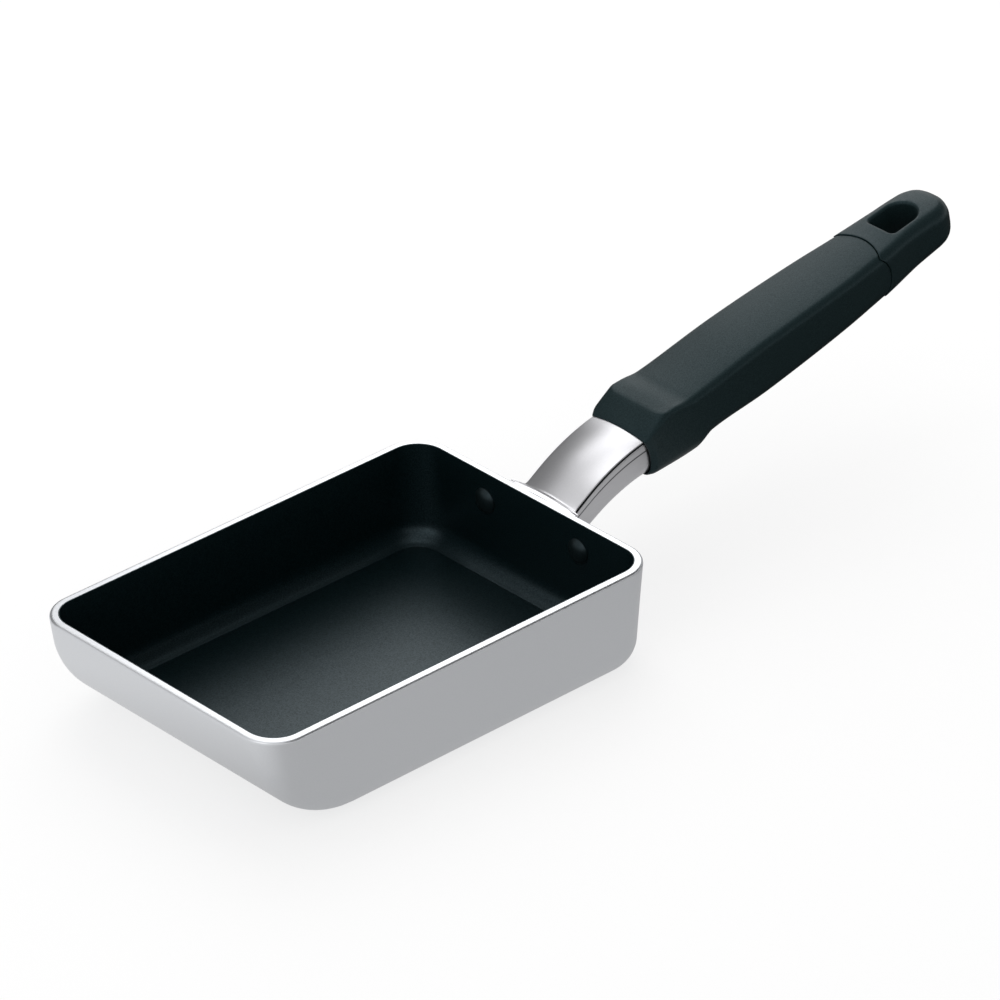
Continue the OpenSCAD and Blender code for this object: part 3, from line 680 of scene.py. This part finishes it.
# %% The neck cover
cover_thickness = 1.2 * mm
cover_crown = 1.4 * mm
cover_edge = 0.3 * mm
cover_lip = 0.45 * mm
lip_taper = 4 * mm
crown_steps = 16
foot_flare = 4.5 * mm
foot_hollow = 1.7 * mm
foot_steps = 9
foot_face = flange_face + cover_thickness
foot_half = neck_half + foot_flare
flare_from = foot_face + foot_flare
straight_from = (flare_from - wall_face) * 1.4
foot_centre = Vector((foot_face + foot_hollow, neck_foot.y
                      + (foot_face + foot_hollow - wall_face) * math.tan(neck_rise)
                      + foot_hollow / math.cos(neck_rise)))


def crown_at(share):
    """Height of the crown at a share of the half width from the centre line."""
    return cover_crown * (1 - share ** 2)


def cover_section(half):
    """The cover's section: over the crown from one edge to the other, and back along the flat underside."""
    top = [half - cover_edge - 2 * (half - cover_edge) * i / crown_steps for i in range(crown_steps + 1)]
    over = [(side, crown_at(side / half)) for side in top]
    slope = math.sqrt(0.5)
    rise = crown_at(1 - cover_edge / half)
    near = [(half, rise - cover_edge), (half - cover_edge * (1 - slope), rise - cover_edge * (1 - slope))]
    thick = half - lip_taper
    return (near + over + [(-side, height) for side, height in reversed(near)]
            + [(-half, -cover_lip)] + [(side, -cover_thickness) for side in (-thick, 0, thick)]
            + [(half, -cover_lip)])


def flare(x):
    """Half the cover's width near the wall, where a quarter round widens it."""
    reach = min(foot_flare, max(0, flare_from - x))
    return foot_half - math.sqrt(foot_flare ** 2 - reach ** 2)


def foot_ring(turn):
    """A ring round the hollow of the foot, from the slope up to the flange."""
    half = flare(foot_centre.x + foot_hollow * math.cos(turn))
    share = (turn - foot_turns[0]) / (foot_turns[-1] - foot_turns[0])
    ring = []
    for side, height in cover_section(half):
        radius = foot_hollow - min(height, 0)
        lift = max(height, 0) if height > -cover_thickness / 2 else share * crown_at(side / half)
        ring.append(Vector((foot_centre.x + radius * math.cos(turn), side,
                            foot_centre.y + radius * math.sin(turn) + lift / math.cos(neck_rise))))
    return ring


foot_turns = places(neck_rise - math.pi / 2, -math.pi, foot_steps)
slope_end = foot_centre.x + foot_hollow * math.cos(foot_turns[0])
pin_diameter = 3 * mm
cover_tail = mouth_place + neck_insert - pin_diameter
straight_cover = cover_section(neck_half)
rings = [neck_ring(straight_cover, s) for s in (cover_tail, mouth_place)]
rings += [neck_ring(straight_cover, s) for s in reversed(bend_places)]
rings += [neck_ring(straight_cover, s) for s in reversed(places(straight_from, neck_run - hold, 3))]
rings += [upright_ring(cover_section(flare(x)), x) for x in places(flare_from, slope_end + hold / 2, 4)]
rings += [foot_ring(turn) for turn in foot_turns]
cover = skin("cover", rings)
hand_over(cover, "neck_cover", "brushed_metal", 35)


# %% [markdown]
# The sections of the bracket and the outline of its flange are polygons with some corners rounded. A helper
# lays an arc into each corner that has a radius.

# %% Helper for rounded outlines
def rounded(corners, steps=5):
    """A closed outline through (side, height, radius) corners, with an arc wherever the radius isn't 0."""
    arcs = []
    for i, (side, height, radius) in enumerate(corners):
        corner = Vector((side, height))
        before = (Vector(corners[i - 1][:2]) - corner).normalized()
        after = (Vector(corners[(i + 1) % len(corners)][:2]) - corner).normalized()
        if not radius:
            arcs.append([corner])
            continue
        half_angle = before.angle(after) / 2
        centre = corner + (before + after).normalized() * radius / math.sin(half_angle)
        first = corner + before * radius / math.tan(half_angle) - centre
        last = corner + after * radius / math.tan(half_angle) - centre
        start = math.atan2(first.y, first.x)
        sweep = math.atan2(first.x * last.y - first.y * last.x, first.dot(last))
        arcs.append([centre + radius * along(start + sweep * k / steps) for k in range(steps + 1)])
    return outline(*arcs)


print("helper for rounded outlines is ready")

# %% [markdown]
# The bracket is folded from one sheet. A narrow land carries the cover and leaves a groove under its edge.
# Below it a band stands upright, and from a soft bend line the sides draw in to the rounded bottom. Its
# skin is drawn first and then given the sheet's thickness with Solidify, which is how sheet metal is best
# modelled: the outside is exact, and the inside follows.

# %% The bracket's skin
sheet = 1.5 * mm
land = 8.8 * mm
shoulder = neck_half - 0.4 * mm
bead = 0.6 * mm
bend_groove = 0.35 * mm
base_flare = 1.5 * mm
# Each pair is a size at the wall and at the mouth of the grip.
step_depth = (2.2 * mm, 1.5 * mm)
band_height = (1.6 * mm, 3.2 * mm)
low_side_out = (-1.2 * mm, 0.2 * mm)
bracket_depth = (14 * mm, 16 * mm)
low_corner = (2.6 * mm, 4 * mm)


def bracket_section(s, grow=0):
    """The bracket's section at the place s. The neck grows deeper and more upright towards the grip."""
    def here(ends):
        return ends[0] + (ends[1] - ends[0]) * max(0, min(1, s / mouth_place))
    side = shoulder + grow
    step = here(step_depth)
    bend = step + here(band_height)
    right = [(land, -cover_thickness, 0),
             (land, -step - bend_groove, 0),
             (side, -step, bead),
             (side, -bend, 0),
             (side - bend_groove, -bend - bend_groove, 0),
             (side - bend_groove / 4, -bend - 2 * bend_groove, 0),
             (side + here(low_side_out), -here(bracket_depth) - grow, here(low_corner))]
    return rounded(right + [(-a, h, r) for a, h, r in reversed(right)])


wall_places = [base_flare * (1 - math.cos(math.radians(15 * i))) for i in range(7)]
rings = []
for gap in wall_places:
    grow = base_flare - math.sqrt(base_flare ** 2 - (base_flare - gap) ** 2)
    s = (flange_thickness + gap) / math.cos(neck_rise)
    rings.append(upright_ring(bracket_section(s, grow), flange_face + gap))
bracket_places = places(8 * mm, neck_run - hold, 3) + bend_places + [mouth_place, mouth_place + neck_insert]
rings += [neck_ring(bracket_section(s), s) for s in bracket_places]
bracket = skin("bracket", rings)
bpy.ops.object.mode_set(mode="EDIT")
bpy.ops.mesh.select_all(action="DESELECT")
bpy.ops.mesh.select_mode(type="FACE")
bpy.ops.mesh.select_face_by_sides(number=4, type="GREATER")
bpy.ops.mesh.delete(type="ONLY_FACE")
bpy.ops.object.mode_set(mode="OBJECT")
solidify = bracket.modifiers.new("sheet", "SOLIDIFY")
solidify.thickness = sheet
solidify.offset = -1
solidify.use_even_offset = True
activate(bracket)
bpy.ops.object.modifier_apply(modifier=solidify.name)

# %% [markdown]
# The bracket's flange lies against the wall behind the two rivets. It is a rounded plate with its outer
# edge broken, so a single outline is extruded, its outer face is picked by its normal, and that face's
# edges are bevelled, all but the top ones, which meet the cover's foot. It is then joined to the bracket,
# because both are one pressing.

# %% The bracket's flange
flange_radius = 7 * mm
flange_edge = 0.5 * mm
pad_corner = 6.9 * mm
inner_corner = 3 * mm
top_corner = 1 * mm
foot_depth = 15.4 * mm
neck_low = neck_foot.y - foot_depth / math.cos(neck_rise) - sheet
pad = rivet_spread + flange_radius
flange_top = foot_centre.y
right = [(shoulder, neck_low, inner_corner),
         (shoulder, rivet_height - flange_radius, inner_corner),
         (pad, rivet_height - flange_radius, pad_corner),
         (pad, rivet_height + flange_radius, pad_corner),
         (foot_half, rivet_height + flange_radius, top_corner),
         (foot_half, flange_top, 0)]
left = [(-side, height, radius) for side, height, radius in reversed(right)]
top = [(side, flange_top + crown_at(side / foot_half) / math.cos(neck_rise), 0)
       for side in places(foot_half - top_corner, top_corner - foot_half, 15)]
flange_outline = rounded(right + top + left, 8)
flange = skin("flange", [[Vector((x, p.x, p.y)) for p in flange_outline] for x in (wall_face, flange_face)])
bpy.ops.object.mode_set(mode="EDIT")
bpy.ops.mesh.select_all(action="DESELECT")
mesh = bmesh.from_edit_mesh(flange.data)
for face in mesh.faces:
    face.select = face.normal.x > 0.9
bmesh.update_edit_mesh(flange.data)
bpy.ops.mesh.region_to_loop()
for edge in mesh.edges:
    if min(vertex.co.z for vertex in edge.verts) > flange_top - top_corner:
        edge.select = False
bmesh.update_edit_mesh(flange.data)
bpy.ops.mesh.bevel(offset=flange_edge, segments=4, affect="EDGES")
bpy.ops.object.mode_set(mode="OBJECT")
cut_rivet_holes(flange, flange_face)
activate(bracket)
flange.select_set(True)
bpy.ops.object.join()
hand_over(bracket, "handle_bracket", "brushed_metal", 35)

# %% [markdown]
# On the real neck the narrow groove under the cover lies in dark shade, and a thin grey line of shade runs
# along the bend. Both are so narrow that the bright studio would fill them with its reflection, so a deeper
# groove alone wouldn't draw them. The faces there are picked by their place and normal, and the shade is
# painted on them with a dark and a grey finish of their own.

# %% The lines of painted shade along the neck
bracket.data.materials.append(finishes["groove_painted_shade"])
bracket.data.materials.append(finishes["bend_painted_shade"])
groove_shade_index, bend_shade_index = 1, 2
bend_middle = shoulder - 0.6 * bend_groove
tolerance = 0.1 * mm
# The bend line's facets and the land inside the groove get painted shade.
for face in bracket.data.polygons:
    side, outwards, upwards = abs(face.center.y), abs(face.normal.y), face.normal.z
    if face.center.x > flange_face:
        if abs(side - bend_middle) < tolerance and (upwards < -0.3 or 0.76 < outwards < 0.95):
            face.material_index = bend_shade_index
        elif land - tolerance < side < shoulder - bead / 4 and upwards > 0.2:
            face.material_index = groove_shade_index
groove_shade_faces = sum(face.material_index == groove_shade_index for face in bracket.data.polygons)
print("dark faces in the groove:", groove_shade_faces)

# %% [markdown]
# The grip and its end cap are one long form that is divided by a curved seam. The form is described by a
# few curves along the handle: its top, its underside, half its width and the radii of its edges. A ring at
# a place x is then worked out from those curves. A moulded handle has no straight stretch, so a cube with
# subdivisions would need as many rings as this and would hit none of the measured places.

# %% The handle's curves
grip_length = 125 * mm
tip_at = grip_length + 44.4 * mm
ridge_at = 9.6 * mm
guard_at = 24 * mm
hollow_at = guard_at + 9 * mm
middle = grip_length / 2
grip_half = 15 * mm
cap_half = 11.5 * mm
seam_half = cap_half + 1.4 * mm
cap_top = 9.8 * mm
cap_under = 8.4 * mm
hole_half = 6.6 * mm
hole_from = grip_length + 13.6 * mm
hole_mid = hole_from + 17.2 * mm - hole_half
lip_top = axis_drop + 0.35 * mm
ridge_top = 13.2 * mm
ridge_fall = 0.6 * mm
top_crown = 1.2 * mm
crown_run = 15 * mm
tip_round = 6 * mm
top_marks = [(ridge_at, ridge_top), (ridge_at + 6 * mm, ridge_top - ridge_fall), (guard_at, 11.2 * mm),
             (middle, 11.8 * mm), (grip_length, cap_top), (hole_mid, cap_top), (tip_at, cap_top - 1.5 * mm)]
under_marks = [(0, 9.7 * mm), (guard_at, 13.2 * mm), (hollow_at, 10.6 * mm), (middle, 11.8 * mm),
               (grip_length, cap_under + 2 * mm), (hole_mid, cap_under), (tip_at, cap_under - 1.6 * mm)]
half_marks = [(0, neck_half + 0.8 * mm), (3 * mm, grip_half), (middle, grip_half),
              (grip_length - 20 * mm, grip_half - 0.8 * mm), (grip_length, seam_half),
              (hole_from + hole_half, cap_half)]
upper_marks = [(0, 1.2 * mm), (ridge_at, 1.8 * mm), (hollow_at, 2.6 * mm), (grip_length, 3 * mm),
               (tip_at, 4.2 * mm)]
lower_marks = [(0, 4 * mm), (guard_at, 6.4 * mm), (tip_at, 6.4 * mm)]


def curve(marks, x):
    """A smooth curve through (place, value) marks."""
    def slope(i):
        before, after = marks[max(i - 1, 0)], marks[min(i + 1, len(marks) - 1)]
        return (after[1] - before[1]) / (after[0] - before[0])
    i = max(0, min(len(marks) - 2, sum(x > mark[0] for mark in marks) - 1))
    width = marks[i + 1][0] - marks[i][0]
    s = max(0, min(1, (x - marks[i][0]) / width))
    return (marks[i][1] * (1 + 2 * s) * (1 - s) ** 2 + marks[i + 1][1] * s * s * (3 - 2 * s)
            + width * slope(i) * s * (1 - s) ** 2 - width * slope(i + 1) * s * s * (1 - s))


print("handle:", round(tip_at / mm, 1), "mm long, seam at", round(grip_length / mm, 1), "mm")


# %% [markdown]
# A ring goes round the section: an edge's round, the top, the next round, a side, and so on. Every ring has
# the same points in the same order, so the edges that join two rings run along the handle.

# %% The handle's rings
def going_round(edge_steps, top_steps, side_steps, under_steps):
    """Each point's share of the width and of the height, and its angle on the edge's round."""
    def round_edge(side, height, quarter_turn):
        turns = [quarter_turn + i / edge_steps for i in range(edge_steps + 1)]
        return [(side, height, math.radians(90 * turn)) for turn in turns]

    def flat(first, last, angle, steps):
        wide, tall = last[0] - first[0], last[1] - first[1]
        return [(first[0] + wide * i / steps, first[1] + tall * i / steps, angle) for i in range(1, steps)]
    return (round_edge(1, 1, 0) + flat((1, 1), (-1, 1), math.pi / 2, top_steps)
            + round_edge(-1, 1, 1) + flat((-1, 1), (-1, 0), math.pi, side_steps)
            + round_edge(-1, 0, 2) + flat((-1, 0), (1, 0), 1.5 * math.pi, under_steps)
            + round_edge(1, 0, 3) + flat((1, 0), (1, 1), 2 * math.pi, side_steps))


around = going_round(8, 14, 5, 8)


def section_ring(x, half, top, under, upper, lower, crown):
    """A rounded section, as points in the handle's frame."""
    ring = []
    for side, height, angle in around:
        radius = lower + (upper - lower) * height
        y = side * (half - radius) + radius * math.cos(angle)
        z = (lower - under) * (1 - height) + (top - upper) * height + radius * math.sin(angle)
        lift = crown * (1 - (y / half) ** 2) * max(0, z / top)
        ring.append(Vector((x, y, z + lift)))
    return ring


def tip_share(x):
    """How much of the width is left where the tip is round in plan. The last ring keeps a little."""
    into = max(0, x - tip_at + cap_half)
    return max(0.12, math.sqrt(max(0, 1 - (into / cap_half) ** 2)))


def tip_draw(x):
    """How far the tip has drawn in, seen from the side. It stops short of a full round."""
    into = min(tip_round, max(0, x - tip_at + tip_round))
    return 0.9 * (tip_round - math.sqrt(tip_round ** 2 - into ** 2))


def top_height(x):
    """Height of the handle's top at its edges: a slanted face up to the ridge, then the top itself."""
    if x < ridge_at:
        return lip_top + (ridge_top - lip_top) * x / ridge_at
    return curve(top_marks, x)


def crown_height(x):
    """How much higher the top is at its middle. The lip follows the neck's crown; the ridge is straight."""
    if x < ridge_at:
        return cover_crown * (1 - x / ridge_at)
    return top_crown * min(1, (x - ridge_at) / crown_run) * tip_share(x)


def handle_half(x):
    return curve(half_marks, x) * tip_share(x)


def handle_ring(x, proud=0):
    """The handle's section at x, grown by proud. No edge's radius takes more than the room there is."""
    draw = tip_draw(x)
    half = handle_half(x) + proud
    top = top_height(x) + proud - draw
    under = curve(under_marks, x) + proud - draw
    room = 0.98 * min(half, (top + under) / 2)
    upper = min(room, curve(upper_marks, x) + proud)
    lower = min(room, curve(lower_marks, x) + proud)
    return section_ring(x, half, top, under, upper, lower, crown_height(x))


print("handle: rings of", len(around), "points")

# %% [markdown]
# Three things bend the rings in plan. The ridge's ends turn back round the corner, so the rings near it
# are bowed. The mouth's sides are scooped back a little. And the seam bulges into the cap on the top and on
# both sides, so the rings near it lean into that curve, and the last one lies exactly on it.

# %% Bending the rings
ridge_bow = 5 * mm
bow_ends = 40 * mm
bow_height = 7 * mm
seam_bulge = 4.6 * mm
seam_lean = 13 * mm
flat_shift = 3.7 * mm
mouth_scoop = 1.9 * mm
scoop_middle = -1.4 * mm
scoop_tall = 8.4 * mm
scoop_ends = 8 * mm
seam_middle = (cap_top - cap_under) / 2
seam_tall = (cap_top + cap_under) / 2


def bulge(offset, half):
    """An arc's rise at an offset from its middle, where it is half long each way."""
    radius = (half ** 2 + seam_bulge ** 2) / (2 * seam_bulge)
    offset = min(abs(offset), half)
    return seam_bulge - radius + math.sqrt(radius ** 2 - offset ** 2)


def seam_shift(point):
    return max(bulge(point.y, seam_half), bulge(point.z - seam_middle, seam_tall))


def bent(ring):
    """The ring with its bow near the ridge, its scoop at the mouth and its lean near the seam."""
    x = ring[0].x
    bow = (x / ridge_at) ** 2 if x < ridge_at else max(0, (bow_ends - x) / (bow_ends - ridge_at))
    lean = max(0, 1 - abs(x - grip_length) / seam_lean)
    half = max(abs(p.y) for p in ring)
    made = []
    for p in ring:
        into = max(0, abs(p.y) - half + ridge_bow)
        back = ridge_bow - math.sqrt(max(0, ridge_bow ** 2 - into ** 2))
        shift = bow * back * max(0, min(1, p.z / bow_height)) + lean * seam_shift(p)
        level = max(0, 1 - ((p.z - scoop_middle) / scoop_tall) ** 2)
        shift += mouth_scoop * level * abs(p.y / half) ** 6 * max(0, 1 - x / scoop_ends)
        made.append(p + Vector((shift, 0, 0)))
    return made


def placed(ring):
    """A ring of the handle's frame, in the pan's frame."""
    return [on_handle(p.x, p.y, p.z) for p in ring]


def end_face(x, share, flat=False):
    """A smaller ring inside the seam's end face. The smallest is flat, so that its filling is flat too."""
    ring = [Vector((x, p.y * share, p.z * share)) for p in handle_ring(grip_length)]
    return [p + Vector((flat_shift if flat else seam_shift(p), 0, 0)) for p in ring]


print("seam bulges", round(bulge(0, seam_half) / mm, 1), "mm into the cap")

# %% [markdown]
# The grip starts deep inside its socket, comes out over its thin lip, climbs the slanted face to the ridge,
# and goes back to the seam. The ridge is softened by three rings close together.

# %% The grip
seat_gap = 0.2 * mm
lip_round = 0.3 * mm
round_middle = 0.3
ridge_soft = 0.35 * mm
seam_round = 0.2 * mm
socket_half = neck_half + seat_gap
socket_top = axis_drop + seat_gap
socket_under = 9.3 * mm
socket_upper = 0.5 * mm
socket_lower = 3.6 * mm


def socket_ring(x):
    return section_ring(x, socket_half, socket_top, socket_under, socket_upper, socket_lower, cover_crown)


softened = handle_ring(ridge_at)
for p in softened:
    p.z -= ridge_soft * round_middle * max(0, min(1, (p.z - bow_height) / bow_height))
grip_rings = [socket_ring(neck_insert + seat_gap), socket_ring(0), handle_ring(0, -lip_round)]
grip_rings += [handle_ring(lip_round * round_middle, -lip_round * round_middle)]
grip_rings += [handle_ring(x) for x in places(lip_round, 3 * mm, 5)]
grip_rings += [handle_ring(x) for x in places(4.5 * mm, ridge_at - ridge_soft, 4)]
grip_rings += [softened] + [handle_ring(x) for x in places(ridge_at + ridge_soft, guard_at, 12)]
grip_rings += [handle_ring(x) for x in places(guard_at + 1 * mm, bow_ends, 13)]
lean_from = grip_length - seam_lean
grip_rings += [handle_ring(x) for x in places(bow_ends + 3 * mm, lean_from, 16)]
grip_rings += [handle_ring(x) for x in places(lean_from + 1 * mm, grip_length - seam_round, 8)]
grip_rings += [handle_ring(grip_length, -seam_round)]
rings = grip_rings[:1] + [bent(ring) for ring in grip_rings[1:]]
rings += [end_face(grip_length, 0.8), end_face(grip_length, 0.5, flat=True)]
grip = skin("handle_grip", [placed(ring) for ring in rings])

# %% [markdown]
# What is hidden inside the grip is cut with plain blocks and rods, as a mould's cores would make it: the
# slot of the tang, the bore and counterbore of the long screw, the socket of the cap's spigot and the hole
# of the cap screw, which comes from below.

# %% Cores of the grip
tang_end = neck_insert + 34 * mm
spigot_length = 11 * mm
spigot_half = (9 * mm, 6 * mm)
seat_at = grip_length - spigot_length - 6.4 * mm
screw_at = grip_length - spigot_length / 2
screw_seat = spigot_half[1] + 1.8 * mm
slot_half = (6.2 * mm, 3.7 * mm)
bore_radius = 2.8 * mm
counterbore_radius = 5.3 * mm
cap_screw_hole = 1.8 * mm
cap_screw_recess = 3.1 * mm
cap_screw_thread = 1.5 * mm


def handle_block(first, last, half_width, half_height):
    """A block along the handle's axis."""
    bpy.ops.object.select_all(action="DESELECT")
    bpy.ops.mesh.primitive_cube_add(size=1, location=on_handle((first + last) / 2, 0, 0),
                                    rotation=(0, -handle_rise, 0),
                                    scale=(last - first, 2 * half_width, 2 * half_height))
    return bpy.context.object


def handle_rod(first, last, radius, x=None):
    """A rod along the handle's axis, or across it from height to height at a place x."""
    bpy.ops.object.select_all(action="DESELECT")
    middle_way = (first + last) / 2
    place = on_handle(middle_way, 0, 0) if x is None else on_handle(x, 0, middle_way)
    turn = math.pi / 2 - handle_rise if x is None else -handle_rise
    bpy.ops.mesh.primitive_cylinder_add(vertices=round_sides, radius=radius, depth=last - first,
                                        location=place, rotation=(0, turn, 0))
    return bpy.context.object


overrun = 6 * mm
cut_away(grip, handle_block(neck_insert - overrun, tang_end + 2 * seat_gap, *slot_half))
cut_away(grip, handle_rod(tang_end - 1 * mm, grip_length, bore_radius))
cut_away(grip, handle_rod(seat_at, grip_length + overrun, counterbore_radius))
cut_away(grip, handle_block(grip_length - spigot_length - seat_gap, grip_length + overrun,
                            spigot_half[0] + seat_gap, spigot_half[1] + seat_gap))
cut_away(grip, handle_rod(-screw_seat - 1 * mm, 0, cap_screw_hole, screw_at))
cut_away(grip, handle_rod(-grip_half, -screw_seat, cap_screw_recess, screw_at))
hand_over(grip, "grip", "black_grip", 35)

# %% [markdown]
# The cap goes on from the same seam, a little proud of the grip, so the seam reads as a thin shadow with a
# fine edge. It could be cut from the grip's own form, but its edge at the seam has to be rounded, and that
# round is easiest as its first rings.

# %% The end cap
proud = 0.4 * mm
seam_gap = 0.3 * mm
cap_edge = 0.3 * mm
cap_from = grip_length + seam_gap
cap_rings = []
for turn in (0, 22.5, 45, 67.5, 90):
    a = math.radians(turn)
    drawn_in = cap_edge * (1 - math.sin(a))
    cap_rings.append(handle_ring(cap_from + cap_edge * (1 - math.cos(a)), proud - drawn_in))
cap_rings += [handle_ring(x, proud) for x in places(cap_from + 1.2 * mm, grip_length + seam_lean, 9)]
cap_rings += [handle_ring(x, proud) for x in places(grip_length + seam_lean + 2 * mm, tip_at - cap_half, 9)]
tip_turns = [math.radians(turn) for turn in range(6, 87, 5)]
cap_rings += [handle_ring(tip_at - cap_half + cap_half * math.sin(turn), proud) for turn in tip_turns]
cap_rings += [handle_ring(tip_at, proud)]
rings = [end_face(cap_from, 0.5, flat=True), end_face(cap_from, 0.8)] + [bent(ring) for ring in cap_rings]
cap = skin("handle_cap", [placed(ring) for ring in rings])

# %% [markdown]
# The hanging hole is cut with a flared cutter whose ends follow the cap's own surface. That gives the
# hole's rim an even round, which a bevel along so curved an edge would not. The spigot is then added, and
# the cap screw's hole is cut into it.

# %% The hanging hole
hole_round = 1.3 * mm
hole_corner = 2 * mm
cutter_rise = 3 * mm


def hole_outline(grow):
    """The hole in plan: straight towards the pan and half round towards the tip, grown by grow."""
    half = hole_half + grow
    corner = hole_corner + grow
    left = hole_from - grow + corner
    return outline(quarter((left, corner - half), corner, 180, 6),
                   quarter((hole_mid, 0), half, 270, 26, 180),
                   quarter((left, half - corner), corner, 90, 6))


def hole_ring(grow, depth, side):
    """A ring of the cutter, at a depth under the cap's top (side 1) or above its underside (side -1)."""
    ring = []
    for p in hole_outline(grow):
        half = handle_half(p.x) + proud
        if side > 0:
            surface = top_height(p.x) + proud + crown_height(p.x) * (1 - (p.y / half) ** 2)
        else:
            surface = curve(under_marks, p.x) + proud
        ring.append(Vector((p.x, p.y, side * (surface - depth))))
    return ring


flares = [math.radians(turn) for turn in (0, 15, 30, 45, 60, 75)]
lifted = hole_round * (1 - math.cos(flares[-1])) + cutter_rise * math.tan(flares[-1])


def hole_end(side):
    """The cutter's flare on one side, from the hole's wall outwards and a little past the surface."""
    sizes = [(hole_round * (1 - math.cos(a)), hole_round * (1 - math.sin(a))) for a in flares]
    sizes.append((lifted / 4, sizes[-1][1] - cutter_rise / 4))
    return [hole_ring(grow, depth, side) for grow, depth in sizes]


rings = list(reversed(hole_end(-1))) + hole_end(1)
cut_away(cap, skin("hole_cutter", [placed(ring) for ring in rings]))
spigot_root = cap_from + seam_bulge + 1 * mm
spigot = handle_block(grip_length - spigot_length, spigot_root, *spigot_half)
combine(cap, spigot, "UNION")
cut_away(cap, handle_rod(-screw_seat - 1 * mm, seat_gap, cap_screw_thread, screw_at))
hand_over(cap, "end_cap", "black_cap", 35)

# %% [markdown]
# The picture keeps plain colours, so the view transform is Standard.

# %% Finish
bpy.context.scene.view_settings.view_transform = "Standard"
